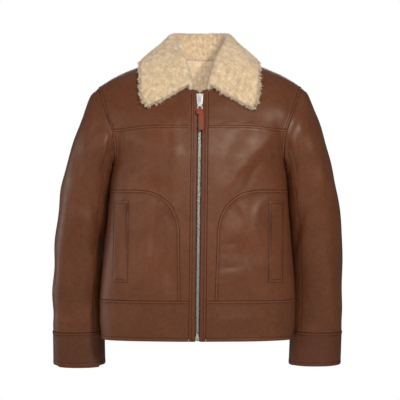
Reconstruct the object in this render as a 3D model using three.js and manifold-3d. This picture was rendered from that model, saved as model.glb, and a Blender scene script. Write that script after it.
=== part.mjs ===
// A zip-front leather jacket with a folded shearling collar, filled out as if worn, with no wearer in it.
// Millimetres, +Z up, the front faces -Y. The origin is the middle of the neck, level with the inner ends
// of the shoulder seams, where the wearer's shoulders hold the jacket up.
import * as THREE from "three";
import Module from "manifold-3d";

const wasm = await Module();
wasm.setup();

// Leather, seams and the way the whole jacket hangs
const LEATHER = 2.5; // wall of the body and sleeves, leather with its turned seam allowance
const BAND = 3; // wall of the hem band, cuffs and plackets, which are folded double
const SEAM = 0.4; // gap where two pieces are sewn edge to edge
const HALF_SEAM = SEAM / 2;
const SHEARLING = 10; // hide and standing wool of the collar
const DRIFT = -7; // how far the hem hangs to the side of the neck

// Heights of the seams on the front, from the neck down
const HEM = -645;
const HEM_SEAM = -554;
const POCKET_SEAM = -307;
const YOKE_SEAM = -162;
const YOKE_SEAM_AT_ARMHOLE = -170;
const ARMPIT = -243;
const SHOULDER_POINT = { x: 233, z: -71 };

// Neck opening: half its width, and how far it drops at the front and at the back
const NECK = { half: 78, frontDrop: 82, backDrop: 10 };

// Shoulder line: its fall, and how it rounds down more steeply from a distance off the middle
const SHOULDER = { slope: 0.36, roundFrom: 120, rounding: 1.05e-5 };
// Distance from the middle where the yoke seam starts to fall towards the armhole, and over which it falls
const YOKE_BEND = 100;

// Zip and plackets, as distances from the middle of the front
const ZIP_GAP = 5;
const PLACKET = 19;
const TEETH = 3.3;
const TEETH_THICK = 2.4;
const CHAIN = { top: -101, aboveHem: 12, sunk: 0.8 };
const TAPE = { thick: 0.9, aboveHem: 1, belowNeck: 2, fromPlacketSeam: 3, behindPlacket: 0.7 };

// Body sections. half: half width; front, back: depth each way from mid; mid: where the side seam lies.
// Above the armpit half is the width that the chest would have with no armhole cut in it.
const BODY = [
  { z: -645, half: 217.5, front: 92, back: 139, mid: -36 },
  { z: -605, half: 221.5, front: 96, back: 143, mid: -37 },
  { z: -555, half: 222, front: 99, back: 147, mid: -38 },
  { z: -500, half: 218.5, front: 101, back: 150, mid: -38 },
  { z: -421, half: 211, front: 102, back: 154, mid: -38 },
  { z: -329, half: 203, front: 103, back: 156, mid: -36 },
  { z: -283, half: 200, front: 106, back: 154, mid: -32 },
  { z: -243, half: 197, front: 115, back: 147, mid: -22 },
  { z: -225, half: 207, front: 119, back: 144, mid: -17 },
  { z: -190, half: 238, front: 123, back: 137, mid: -8 },
  { z: -150, half: 262, front: 124, back: 128, mid: -1 },
  { z: -100, half: 282, front: 122, back: 118, mid: 4 },
  { z: -50, half: 290, front: 117, back: 112, mid: 5 },
  { z: 40, half: 290, front: 113, back: 108, mid: 5 },
];
const SQUARENESS = { front: 2.35, back: 2.25 };
const ARCH_DEPTH = 260; // height over which the shoulders round away
const ARCH = { front: { neck: 1.8, shoulder: 2.6 }, back: { neck: 2.3, shoulder: 2.7 } };

const FOLD_CLEARANCE = 50; // width beside the placket over which folds fade away
// Largest soft folds of the body. x and z: middle; long and wide: half sizes; lean: degrees from upright, the
// top towards +X; deep: height of a ridge, or less than 0 for a trough
const BODY_FOLDS = [
  { face: "front", x: 108, z: -238, long: 85, wide: 26, lean: 38, deep: 4 },
  { face: "front", x: 70, z: -205, long: 75, wide: 20, lean: 34, deep: -3 },
  { face: "front", x: -62, z: -270, long: 95, wide: 22, lean: -6, deep: 3.5 },
  { face: "front", x: -92, z: -300, long: 90, wide: 18, lean: -8, deep: -3 },
  { face: "front", x: 122, z: -372, long: 60, wide: 20, lean: -28, deep: 3 },
  { face: "front", x: 60, z: -500, long: 22, wide: 45, lean: 6, deep: 3 },
  { face: "front", x: -84, z: -520, long: 55, wide: 22, lean: 4, deep: 3 },
  { face: "back", x: -95, z: -270, long: 90, wide: 26, lean: 24, deep: 4 },
  { face: "back", x: 100, z: -285, long: 95, wide: 24, lean: -22, deep: 4 },
  { face: "back", x: 10, z: -430, long: 110, wide: 30, lean: 5, deep: -3.5 },
  { face: "back", x: -60, z: -480, long: 80, wide: 24, lean: -7, deep: 3 },
];

// Armhole seam seen from the front and from the back
const ARMHOLE = [
  { z: -243, front: 197, back: 197 },
  { z: -236, front: 193, back: 195 },
  { z: -225, front: 191.5, back: 195 },
  { z: -205, front: 192.5, back: 198 },
  { z: -182, front: 195.5, back: 203 },
  { z: -160, front: 201.5, back: 208 },
  { z: -139, front: 209, back: 213 },
  { z: -100, front: 222, back: 224 },
  { z: -71, front: 233, back: 233 },
];

// Sleeve sections, 0 at the armhole, 9 at the cuff seam and 10 at the cuff's edge. outX, outZ and inX, inZ:
// the outline seen from the front; deep: half depth; mid: middle of the depth; dip: how much lower the front
// is
const SLEEVE = [
  { at: 0, outX: 233, outZ: -71, inX: 197, inZ: -243, deep: 80, mid: 0, dip: 0 },
  { at: 1, outX: 251, outZ: -92, inX: 199.5, inZ: -251, deep: 82, mid: 2, dip: 0 },
  { at: 2, outX: 272, outZ: -143, inX: 198.5, inZ: -264, deep: 83, mid: 5, dip: 0 },
  { at: 3, outX: 291, outZ: -200, inX: 198, inZ: -284, deep: 81, mid: 9, dip: 0 },
  { at: 4, outX: 309, outZ: -266, inX: 200.5, inZ: -316, deep: 78, mid: 13, dip: 0 },
  { at: 5, outX: 321.5, outZ: -335, inX: 205, inZ: -360, deep: 74, mid: 17, dip: 1 },
  { at: 6, outX: 331, outZ: -420, inX: 211, inZ: -428, deep: 68, mid: 22, dip: 2 },
  { at: 7, outX: 334, outZ: -500, inX: 215.5, inZ: -500, deep: 61, mid: 26, dip: 3 },
  { at: 8, outX: 334.5, outZ: -570, inX: 217, inZ: -566, deep: 53, mid: 27, dip: 4 },
  { at: 9, outX: 333.5, outZ: -630, inX: 215, inZ: -628, deep: 46, mid: 26, dip: 5 },
  { at: 10, outX: 331.5, outZ: -706, inX: 212.5, inZ: -706, deep: 42, mid: 23, dip: 5 },
];
// Largest soft folds of the sleeves. side: 1 for the wearer's left; at, long: along the sleeve, in its
// sections; turn, wide: round it, in radians from its outer edge, a quarter turn at the front; lean: change
// of turn per section
const SLEEVE_FOLDS = [
  { side: -1, at: 5.5, long: 0.9, turn: 2.35, wide: 0.26, lean: 0.5, deep: -5 },
  { side: -1, at: 6.2, long: 0.9, turn: 1.9, wide: 0.3, lean: 0.4, deep: 3 },
  { side: -1, at: 1.7, long: 1.4, turn: 1.75, wide: 0.28, lean: -0.05, deep: 3.5 },
  { side: -1, at: 3.4, long: 1.5, turn: 1.0, wide: 0.3, lean: 0.1, deep: -3 },
  { side: -1, at: 5.6, long: 0.8, turn: 4.4, wide: 0.3, lean: 0.3, deep: -4 },
  { side: 1, at: 5.7, long: 0.9, turn: 2.3, wide: 0.26, lean: 0.5, deep: -5 },
  { side: 1, at: 4.9, long: 0.9, turn: 1.7, wide: 0.3, lean: 0.45, deep: 3 },
  { side: 1, at: 1.9, long: 1.3, turn: 1.65, wide: 0.28, lean: 0.05, deep: 3.5 },
  { side: 1, at: 7.4, long: 1.3, turn: 1.2, wide: 0.32, lean: -0.1, deep: 2.5 },
  { side: 1, at: 5.9, long: 0.8, turn: 4.3, wide: 0.3, lean: 0.3, deep: -4 },
];
const SLEEVE_SQUARENESS = 2.45;
const LOOP_FADE = 3; // sections over which the armhole's own shape turns into the sleeve's

// Collar, from the middle of the back (turn 0) round the side of the neck (90) to the zip. foldX, Y, Z:
// middle of the fold at the top of the stand. edgeX: outer edge of the fall, laid on the body. reach: the
// square root of how far that edge lies below the shoulder line, less than 0 at the back. droop: how far the
// fall sags between the two
const COLLAR = [
  { turn: 0, foldX: 0, foldY: 80, foldZ: 49, edgeX: 0, reach: -9.3, droop: 0 },
  { turn: 30, foldX: 38, foldY: 72, foldZ: 49, edgeX: 57, reach: -8.1, droop: 0 },
  { turn: 60, foldX: 63, foldY: 47, foldZ: 46, edgeX: 109, reach: -6, droop: 0 },
  { turn: 90, foldX: 65, foldY: 10, foldZ: 34, edgeX: 130, reach: -1, droop: 0 },
  { turn: 115, foldX: 53, foldY: -24, foldZ: 9, edgeX: 135, reach: 5.7, droop: 0 },
  { turn: 142, foldX: 37, foldY: -56, foldZ: -26, edgeX: 135, reach: 8.9, droop: 1.5 },
  { turn: 168, foldX: 26, foldY: -88, foldZ: -76, edgeX: 123, reach: 10.35, droop: 7 },
];
const COLLAR_SEAM = 0.8; // gap between the stand and the neck edge
const NECK_MIDDLE = 20; // a height inside the stand
const FOLD_RADIUS = 4;
const FOLD_SHARES = [0, 0.25, 0.5, 0.75, 0.95]; // of a half turn over the fold
const COLLAR_LIFT = 4; // how far the fall's hide side stays off the leather below it
const FALL_BULGE = { up: 3.4, out: 2.8 };

// Pocket panel: where its top seam starts to turn down, and where it meets the hem band
const POCKET_CURVE = { topX: 139, sideX: 42, lowZ: -409, hemX: 38.5, roundness: 2.22 };
const WELT = { inner: 156.5, outer: 190, top: -331, bottom: -513, thick: 2 };
const LINING = { half: 59, belowNeck: 2.5, bottom: -130, thick: 6, gap: 1.05, gapAtNeck: 2 };

const LEATHER_BROWN = { color: 0x6a4030, roughness: 0.5, metalness: 0 };
const WOOL = { color: 0xd3ba98, roughness: 1, metalness: 0 };
const METAL = { color: 0xc8c6c2, roughness: 0.28, metalness: 1 };
const TAPE_CLOTH = { color: 0x4a3a30, roughness: 0.9, metalness: 0 };
const TAN = { color: 0x9c4a2c, roughness: 0.5, metalness: 0 };

// Smooth value of one column of a table at a place given in its first column.
function sample(rows, key, column, at) {
  const up = rows[1][key] > rows[0][key] ? 1 : -1;
  const last = rows.length - 1;
  let i = 0;
  while (i < last - 1 && up * at > up * rows[i + 1][key]) i += 1;
  const [a, b] = [rows[i], rows[i + 1]];
  const before = rows[Math.max(i - 1, 0)];
  const after = rows[Math.min(i + 2, last)];
  const step = b[key] - a[key];
  const t = Math.min(1, Math.max(0, (at - a[key]) / step));
  const slopeA = ((b[column] - before[column]) / (b[key] - before[key])) * step;
  const slopeB = ((after[column] - a[column]) / (after[key] - a[key])) * step;
  const [t2, t3] = [t * t, t * t * t];
  return (
    a[column] * (2 * t3 - 3 * t2 + 1) +
    slopeA * (t3 - 2 * t2 + t) +
    b[column] * (3 * t2 - 2 * t3) +
    slopeB * (t3 - t2)
  );
}

const body = (column, z) => sample(BODY, "z", column, z);
const mix = (a, b, t) => a + (b - a) * t;
const smooth = (t) => {
  const c = Math.min(1, Math.max(0, t));
  return c * c * (3 - 2 * c);
};
const power = (value, exponent) => Math.sign(value) * Math.abs(value) ** exponent;

// Height of the shoulder line over a place x from the middle.
function shoulder(x) {
  const outer = Math.max(0, Math.abs(x) - SHOULDER.roundFrom);
  return -SHOULDER.slope * (Math.abs(x) - NECK.half) - SHOULDER.rounding * outer ** 3;
}

// How far the soft folds of a face stand out at a place seen from the front.
function bodyFold(x, z, face) {
  let out = 0;
  for (const fold of BODY_FOLDS) {
    if (fold.face !== face) continue;
    const lean = (fold.lean * Math.PI) / 180;
    const along = ((x - fold.x) * Math.sin(lean) + (z - fold.z) * Math.cos(lean)) / fold.long;
    const across = ((x - fold.x) * Math.cos(lean) - (z - fold.z) * Math.sin(lean)) / fold.wide;
    out += fold.deep * Math.exp(-along * along - across * across);
  }
  return face === "front" ? out * smooth((Math.abs(x) - PLACKET) / FOLD_CLEARANCE) : out;
}

// Depth of the front or back from the side seam's plane, at a place seen from the front.
function depth(x, z, face) {
  const across = Math.min(1, Math.abs(x) / body("half", z));
  const below = Math.min(1, Math.max(0, (shoulder(x) - z) / ARCH_DEPTH));
  const arch = mix(ARCH[face].neck, ARCH[face].shoulder, Math.min(1, Math.abs(x) / SHOULDER_POINT.x));
  const round = (1 - (1 - below) ** arch) ** (1 / arch);
  const wide = Math.max(0, 1 - across ** SQUARENESS[face]) ** (1 / SQUARENESS[face]);
  return body(face, z) * wide * round;
}

// A place on the body's surface, seen from the front at x and z.
function bodyPlace(x, z, face) {
  const away = depth(x, z, face) + HALF_SEAM + bodyFold(x, z, face);
  return new THREE.Vector3(x, body("mid", z) + (face === "front" ? -away : away), z);
}

// A point of the leather, moved out from its outer face, by angle round the body: 0 in the middle and a
// quarter turn at the side seam.
const TURN_STEP = 0.02;
function angled(angle, z, face, out = 0) {
  const place = (turn, height) => bodyPlace(body("half", height) * Math.sin(turn), height, face);
  const point = place(angle, z);
  const way = Math.sign(angle) || 1;
  const round = point.clone().sub(place(angle - way * TURN_STEP, z)).multiplyScalar(way);
  const up = point.clone().sub(place(angle, z - 1));
  const away = round.cross(up).normalize().multiplyScalar(face === "front" ? 1 : -1);
  return Object.assign(point.addScaledVector(away, out), { away });
}

// The same, seen from the front at x and z.
const onBody = (x, z, face, out) => angled(angleOf(x, z), z, face, out);
const angleOf = (x, z) => Math.asin(Math.max(-1, Math.min(1, x / body("half", z))));
const armhole = (z, face) => sample(ARMHOLE, "z", face, z);
const edgeAngle = (z, face, inset = 0) =>
  z <= ARMPIT ? Math.PI / 2 : angleOf(armhole(z, face) - inset, z);

// The leaning and drifting that the whole garment shares.
function hang(point) {
  point.x += (DRIFT * point.z) / HEM;
  return point;
}

// Direction of a list of points at one of them, with a three-point rule at the ends.
function direction(points, i) {
  const last = points.length - 1;
  if (i > 0 && i < last) return points[i + 1].clone().sub(points[i - 1]);
  const step = i === 0 ? 1 : -1;
  return points[i]
    .clone()
    .multiplyScalar(-3)
    .addScaledVector(points[i + step], 4)
    .sub(points[i + 2 * step])
    .multiplyScalar(step);
}

// Gives each point of some rows its direction out of the surface, where it has none yet. The sign is such
// that the named point of the rows faces away from a place inside.
function faceAway(rows, inside, [row, column]) {
  const normalAt = (i, j) => {
    const up = direction(rows.map((line) => line[j]), i);
    return direction(rows[i], j).cross(up).normalize();
  };
  const inward = normalAt(row, column).dot(inside.clone().sub(rows[row][column])) > 0;
  rows.forEach((line, i) =>
    line.forEach((p, j) => {
      p.away ??= normalAt(i, j).multiplyScalar(inward ? -1 : 1);
    }),
  );
  return rows;
}

// A closed wall from rows of points on its outer face, each with its direction out of it. keep moves inner
// points back over a seam.
function wall(rows, thickness, { ring = false, keep = (p) => p } = {}) {
  const high = rows.length;
  const wide = rows[0].length;
  const next = (j) => (ring ? (j + 1) % wide : j + 1);
  const outer = rows.flat();
  const inner = outer.map((p) => keep(p.clone().addScaledVector(p.away, -thickness)));
  const size = outer.length;
  const faces = [];
  const quad = (a, b, c, d) => faces.push(a, b, c, a, c, d);
  const columns = ring ? wide : wide - 1;
  for (let i = 0; i < high - 1; i += 1) {
    for (let j = 0; j < columns; j += 1) {
      const [a, b] = [i * wide + j, i * wide + next(j)];
      const [c, d] = [b + wide, a + wide];
      quad(a, b, c, d);
      quad(size + d, size + c, size + b, size + a);
    }
  }
  for (let j = 0; j < columns; j += 1) {
    const [a, b] = [j, next(j)];
    quad(b, a, size + a, size + b);
    const [c, d] = [(high - 1) * wide + j, (high - 1) * wide + next(j)];
    quad(c, d, size + d, size + c);
  }
  if (!ring) {
    for (let i = 0; i < high - 1; i += 1) {
      const [a, b] = [i * wide, (i + 1) * wide];
      quad(a, b, size + b, size + a);
      quad(b + wide - 1, a + wide - 1, size + a + wide - 1, size + b + wide - 1);
    }
  }
  return solid([...outer, ...inner], faces);
}

// A geometry from points and faces, turned so that its faces point out.
function solid(points, faces) {
  let volume = 0;
  for (let k = 0; k < faces.length; k += 3) {
    const [a, b, c] = [points[faces[k]], points[faces[k + 1]], points[faces[k + 2]]];
    volume += a.dot(b.clone().cross(c));
  }
  const turned = [...faces];
  if (volume < 0) {
    for (let k = 0; k < turned.length; k += 3) {
      [turned[k], turned[k + 1]] = [turned[k + 1], turned[k]];
    }
  }
  const geometry = new THREE.BufferGeometry();
  geometry.setAttribute(
    "position",
    new THREE.Float32BufferAttribute(points.flatMap((p) => [p.x, p.y, p.z]), 3),
  );
  geometry.setIndex(turned);
  return geometry;
}

// Rows of points from a function of two shares, u across and v upwards.
function grid(across, upwards, place) {
  const rows = [];
  for (let i = 0; i <= upwards; i += 1) {
    const row = [];
    for (let j = 0; j <= across; j += 1) row.push(place(j / across, i / upwards));
    rows.push(row);
  }
  return rows;
}

// A patch between four edges, each a function of a share that gives [angle, z]. The bends of the two sides
// fade quickly towards its middle.
const SIDE_FADE = 3;
function patch(bottom, top, left, right) {
  const straight = (u, v, k) => mix(bottom(u)[k], top(u)[k], v);
  return (u, v) =>
    [0, 1].map((k) => {
      const bendLeft = left(v)[k] - straight(0, v, k);
      const bendRight = right(v)[k] - straight(1, v, k);
      return straight(u, v, k) + (1 - u) ** SIDE_FADE * bendLeft + u ** SIDE_FADE * bendRight;
    });
}

const mirrored = (point, side) => {
  point.x *= side;
  return point;
};

const group = new THREE.Group();
function add(name, geometry, look) {
  const mesh = new THREE.Mesh(geometry, new THREE.MeshStandardMaterial(look));
  mesh.name = name;
  group.add(mesh);
  return mesh;
}

const neckFront = (x) => -NECK.frontDrop * Math.sqrt(Math.max(0, 1 - (x / NECK.half) ** 2));
const neckBack = (x) => -NECK.backDrop * Math.sqrt(Math.max(0, 1 - (x / NECK.half) ** 2));

// The top edge of the front or back: the neckline up to a share of the way, then the shoulder seam.
function topEdge(start, neckShare, neckline) {
  return (u) => {
    const end = SHOULDER_POINT.x - SEAM;
    const x =
      u < neckShare
        ? mix(start, NECK.half, Math.sin(((u / neckShare) * Math.PI) / 2))
        : mix(NECK.half, end, (u - neckShare) / (1 - neckShare));
    const z = u < neckShare ? neckline(x) : shoulder(x);
    return [angleOf(x, z), z];
  };
}

const yokeSeam = (x) => mix(YOKE_SEAM, YOKE_SEAM_AT_ARMHOLE, smooth((x - YOKE_BEND) / YOKE_BEND));
const NECK_SHARE = 0.5; // share of a top edge that the neckline takes
const TOP_CLOSENESS = 1.8; // rows lie closer towards the shoulder, where the yoke rounds away
const towardsTop = (v) => 1 - (1 - v) ** TOP_CLOSENESS;

// Front yoke, from the zip placket to the armhole and up to the shoulder seam.
function yoke(side) {
  const innerX = PLACKET + HALF_SEAM;
  const lowZ = YOKE_SEAM_AT_ARMHOLE + HALF_SEAM;
  const bottom = (u) => {
    const x = mix(innerX, armhole(lowZ, "front") - SEAM, u);
    const z = yokeSeam(x) + HALF_SEAM;
    return [angleOf(x, z), z];
  };
  const top = topEdge(innerX, NECK_SHARE, neckFront);
  const left = (v) => {
    const z = mix(YOKE_SEAM + HALF_SEAM, neckFront(innerX), v);
    return [angleOf(innerX, z), z];
  };
  const right = (v) => {
    const z = mix(lowZ, shoulder(SHOULDER_POINT.x - SEAM), v);
    return [edgeAngle(z, "front", SEAM), z];
  };
  const place = patch(bottom, top, left, right);
  return grid(12, 8, (u, v) => {
    const [angle, z] = place(u, towardsTop(v));
    return hang(angled(side * angle, z, "front"));
  });
}

// The curved seam between the front and the pocket panel, from the side seam (0) to the hem band (1).
function pocketSeam(share, shift) {
  const { topX, sideX, lowZ, hemX, roundness } = POCKET_CURVE;
  const straight = 0.3;
  const curved = 0.72;
  const sideEdge = body("half", POCKET_SEAM);
  if (share < straight) {
    const angle = mix(Math.PI / 2, angleOf(topX, POCKET_SEAM), share / straight);
    return { x: sideEdge * Math.sin(angle), z: POCKET_SEAM + shift, angle };
  }
  if (share < curved) {
    const turn = (((share - straight) / (curved - straight)) * Math.PI) / 2;
    const [sine, cosine] = [power(Math.sin(turn), 2 / roundness), power(Math.cos(turn), 2 / roundness)];
    const x = topX - (topX - sideX + shift) * sine;
    const z = lowZ + (POCKET_SEAM - lowZ + shift) * cosine;
    return { x, z };
  }
  const t = (share - curved) / (1 - curved);
  return { x: mix(sideX, hemX, t) - shift, z: mix(lowZ, HEM_SEAM, t) };
}

const seamAngle = (share, shift) => {
  const p = pocketSeam(share, shift);
  return [p.angle ?? angleOf(p.x, p.z), p.z];
};
const SEAM_CORNER = 0.5; // share of the curved seam that faces the corner of the front

// Front below the yoke: over the pocket panel, and between it and the placket down to the hem band.
function chest(side) {
  const innerX = PLACKET + HALF_SEAM;
  const topZ = YOKE_SEAM_AT_ARMHOLE - HALF_SEAM;
  const bottom = (u) => {
    const [angle, z] = seamAngle(u, HALF_SEAM);
    return [angle, Math.max(z, HEM_SEAM + HALF_SEAM)];
  };
  const top = (u) => {
    if (u < SEAM_CORNER) {
      const x = mix(armhole(topZ, "front") - SEAM, innerX, u / SEAM_CORNER);
      const z = yokeSeam(x) - HALF_SEAM;
      return [angleOf(x, z), z];
    }
    const z = mix(YOKE_SEAM - HALF_SEAM, HEM_SEAM + HALF_SEAM, (u - SEAM_CORNER) / (1 - SEAM_CORNER));
    return [angleOf(innerX, z), z];
  };
  const left = (v) => {
    const z = mix(POCKET_SEAM + HALF_SEAM, topZ, v);
    return [edgeAngle(z, "front", SEAM), z];
  };
  const right = (v) => {
    const z = HEM_SEAM + HALF_SEAM;
    return [mix(bottom(1)[0], angleOf(innerX, z), v), z];
  };
  const place = patch(bottom, top, left, right);
  return grid(26, 7, (u, v) => {
    const [angle, z] = place(u, v);
    return hang(angled(side * angle, z, "front"));
  });
}

// Pocket panel, below and outside the curved seam.
function pocketPanel(side) {
  const lowZ = HEM_SEAM + HALF_SEAM;
  const highZ = POCKET_SEAM - HALF_SEAM;
  const top = (u) => seamAngle(mix(SEAM_CORNER, 0, u), -HALF_SEAM);
  const left = (v) => {
    const [angle, z] = seamAngle(mix(1, SEAM_CORNER, v), -HALF_SEAM);
    return [angle, Math.max(z, lowZ)];
  };
  const bottom = (u) => [mix(left(0)[0], Math.PI / 2, u), lowZ];
  const right = (v) => [Math.PI / 2, mix(lowZ, highZ, v)];
  const place = patch(bottom, top, left, right);
  return grid(13, 13, (u, v) => {
    const [angle, z] = place(u, v);
    return hang(angled(side * angle, z, "front"));
  });
}

// Welt of the upright pocket, laid on the pocket panel.
function welt(side) {
  return grid(4, 10, (u, v) => {
    const z = mix(WELT.bottom, WELT.top, v);
    const angle = mix(angleOf(WELT.inner, z), angleOf(WELT.outer, z), u);
    return hang(angled(side * angle, z, "front", WELT.thick + SEAM));
  });
}

// Zip placket: a folded strip along the zip, from the neck to the hem.
function placket(side) {
  return grid(2, 24, (u, v) => {
    const x = mix(ZIP_GAP, PLACKET - HALF_SEAM, u);
    const z = mix(HEM, neckFront(x), v);
    return hang(onBody(side * x, z, "front"));
  });
}

// Hem band, front halves and back.
function hemFront(side) {
  return grid(12, 3, (u, v) => {
    const z = mix(HEM, HEM_SEAM - HALF_SEAM, v);
    const angle = mix(angleOf(PLACKET + HALF_SEAM, z), Math.PI / 2, u);
    return hang(angled(side * angle, z, "front"));
  });
}
function hemBack() {
  return grid(22, 3, (u, v) => {
    const z = mix(HEM, HEM_SEAM - HALF_SEAM, v);
    return hang(angled(mix(-Math.PI / 2, Math.PI / 2, u), z, "back"));
  });
}

// Back: one plain piece from the hem band to the neck and shoulders.
function back() {
  const top = topEdge(0, NECK_SHARE, neckBack);
  const lowZ = HEM_SEAM + HALF_SEAM;
  const bottom = (u) => [mix(0, Math.PI / 2, u), lowZ];
  const left = (v) => [0, mix(lowZ, neckBack(0), v)];
  const sideShare = 0.5; // share of the outer edge that the side seam takes
  const right = (v) => {
    if (v < sideShare) return [Math.PI / 2, mix(lowZ, ARMPIT, v / sideShare)];
    const turn = ((v - sideShare) / (1 - sideShare)) * Math.PI;
    const z = mix(ARMPIT, shoulder(SHOULDER_POINT.x - SEAM), (1 - Math.cos(turn)) / 2);
    return [edgeAngle(z, "back", SEAM), z];
  };
  const place = patch(bottom, top, left, right);
  return grid(24, 20, (u, v) => {
    const across = 2 * u - 1;
    const [angle, z] = place(Math.abs(across), v);
    return hang(angled((Math.sign(across) || 1) * angle, z, "back"));
  });
}

// Wool-covered lining inside the back of the neck.
function lining() {
  return grid(12, 8, (u, v) => {
    const x = mix(-LINING.half, LINING.half, u);
    const z = mix(LINING.bottom, neckBack(x) - LINING.belowNeck, v);
    const gap = mix(LINING.gap, LINING.gapAtNeck, smooth(2 * v - 1));
    return hang(onBody(x, z, "back", -LEATHER - gap));
  });
}

const TINY = 1e-6;
// The armhole seam as a loop: turn 0 at the shoulder point, a quarter turn at the front, half at the armpit.
function armholeLoop(turn) {
  const z = mix(SHOULDER_POINT.z, ARMPIT, (1 - Math.cos(turn)) / 2);
  const face = Math.sin(turn) >= 0 ? "front" : "back";
  const point = onBody(armhole(z, face), z, face);
  const atSeam = Math.abs(Math.sin(turn)) < TINY;
  return atSeam ? point.setY(body("mid", z)) : point;
}

// A plain sleeve section, square to the sleeve.
function sleeveSection(at, turn, grow) {
  const value = (column) => sample(SLEEVE, "at", column, at);
  const outer = new THREE.Vector3(value("outX"), 0, value("outZ"));
  const inner = new THREE.Vector3(value("inX"), 0, value("inZ"));
  const middle = outer.clone().add(inner).multiplyScalar(0.5);
  const arm = outer.sub(inner).multiplyScalar(0.5);
  const share = 2 / SLEEVE_SQUARENESS;
  const [across, forward] = [power(Math.cos(turn), share), power(Math.sin(turn), share)];
  const grown = 1 + grow / arm.length();
  return new THREE.Vector3(
    middle.x + arm.x * across * grown,
    value("mid") - (value("deep") + grow) * forward,
    middle.z + arm.z * across * grown - value("dip") * forward,
  );
}

// How far the soft folds of a sleeve stand out.
function sleeveFold(side, at, turn) {
  let out = 0;
  for (const fold of SLEEVE_FOLDS) {
    if (fold.side !== side) continue;
    const along = (at - fold.at) / fold.long;
    const round = ((turn + 2 * Math.PI) % (2 * Math.PI)) - fold.turn - fold.lean * (at - fold.at);
    out += fold.deep * Math.exp(-along * along - (round / fold.wide) ** 2);
  }
  return out;
}

// The sleeve's outer face: the armhole's own shape at the top, fading into plain sections.
function sleevePoint(side, at, turn, grow = 0) {
  const point = sleeveSection(at, turn, grow + sleeveFold(side, at, turn));
  if (at < LOOP_FADE) {
    const own = armholeLoop(turn).sub(sleeveSection(0, turn, 0));
    point.addScaledVector(own, 1 - smooth(at / LOOP_FADE));
  }
  return mirrored(point, side);
}

// A point of the sleeve with its direction out of the leather. shift moves it round the sleeve, off a seam.
const AT_STEP = 0.03;
function onSleeve(side, at, turn, { grow = 0, shift = 0 } = {}) {
  const place = (a, t) => sleevePoint(side, a, t, grow);
  const round = place(at, turn + TURN_STEP).sub(place(at, turn - TURN_STEP));
  const along = place(at + AT_STEP, turn).sub(place(at, turn));
  const away = round.cross(along).normalize().multiplyScalar(side);
  return Object.assign(place(at, turn + shift), { away });
}

const COLUMNS = 20; // columns round a sleeve, in step with the rows beside the armhole
const COLUMN = (2 * Math.PI) / COLUMNS;
const SLEEVE_SEAMS = { front: 7, back: 13 };
const SEAM_TURN = 0.004;
const CUFF_AT = 9;
const CUFF_GAP = 0.006; // half the gap at the cuff seam, in sections
const ARMHOLE_GAP = 0.04;
const SLEEVE_ROWS = 18;
const CUFF_ROWS = 3;
function sleevePiece(side, first, last) {
  return grid(last - first, SLEEVE_ROWS, (u, v) => {
    const shift = u === 0 ? SEAM_TURN : u === 1 ? -SEAM_TURN : 0;
    const at = mix(CUFF_AT - CUFF_GAP, ARMHOLE_GAP, v);
    return hang(onSleeve(side, at, mix(first, last, u) * COLUMN, { shift }));
  });
}
function cuff(side) {
  const rows = grid(COLUMNS, CUFF_ROWS, (u, v) => {
    const at = mix(SLEEVE[SLEEVE.length - 1].at, CUFF_AT + CUFF_GAP, v);
    return hang(onSleeve(side, at, u * 2 * Math.PI, { grow: BAND - LEATHER }));
  });
  return rows.map((row) => row.slice(0, COLUMNS));
}

// Place on the neck seam, seen from the front.
function neckPlace(turn) {
  const x = NECK.half * Math.sin((turn * Math.PI) / 180);
  const face = turn < 90 ? "back" : "front";
  return { x, z: face === "back" ? neckBack(x) : neckFront(x), face };
}

// Directions at the neck seam: out of the leather, and up out of its cut edge.
function neckSide(turn) {
  const nudge = 0.5;
  // A place this far below the neck's edge, and a little towards the front, lies on the leather.
  const below = 3;
  const aside = 0.3 * (turn / 90);
  const { x, z, face } = neckPlace(turn);
  const [before, after] = [turn - nudge, turn + nudge].map((t) => {
    const at = neckPlace(t);
    return onBody(at.x, at.z, at.face);
  });
  const along = after.sub(before).normalize();
  const down = onBody(x + aside, z - below, face).sub(onBody(x, z, face));
  const out = along.clone().cross(down).normalize();
  const up = out.clone().cross(along).normalize();
  return { out, up: up.z < 0 ? up.negate() : up };
}

// The collar's hide side: up the stand from the neck seam, over the fold, and down the fall to its edge.
function collarProfile(turn) {
  const value = (column) => sample(COLLAR, "turn", column, turn);
  const neck = neckPlace(turn);
  const seam = onBody(neck.x, neck.z, neck.face).addScaledVector(neckSide(turn).up, COLLAR_SEAM);
  const fold = new THREE.Vector3(value("foldX"), value("foldY"), value("foldZ"));
  const reach = value("reach");
  const edgeZ = shoulder(value("edgeX")) - reach ** 2;
  const edge = onBody(value("edgeX"), edgeZ, reach < 0 ? "back" : "front", COLLAR_LIFT);
  const out = edge.clone().sub(fold);
  out.z = 0;
  out.normalize();
  const up = new THREE.Vector3(0, 0, 1);
  const around = (angle) =>
    fold
      .clone()
      .addScaledVector(out, -Math.cos(angle) * FOLD_RADIUS)
      .addScaledVector(up, Math.sin(angle) * FOLD_RADIUS);
  const folded = FOLD_SHARES.map((share) => around(share * Math.PI));
  const last = folded[folded.length - 1];
  const fall = [0.25, 0.5, 0.75, 1].map((share) => {
    const middle = Math.sin(share * Math.PI);
    const point = last.clone().lerp(edge, share);
    return point
      .addScaledVector(up, middle * (FALL_BULGE.up - value("droop")))
      .addScaledVector(out, middle * FALL_BULGE.out);
  });
  const stand = [0, 0.5].map((share) => seam.clone().lerp(folded[0], share));
  return [...stand, ...folded, ...fall];
}

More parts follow.
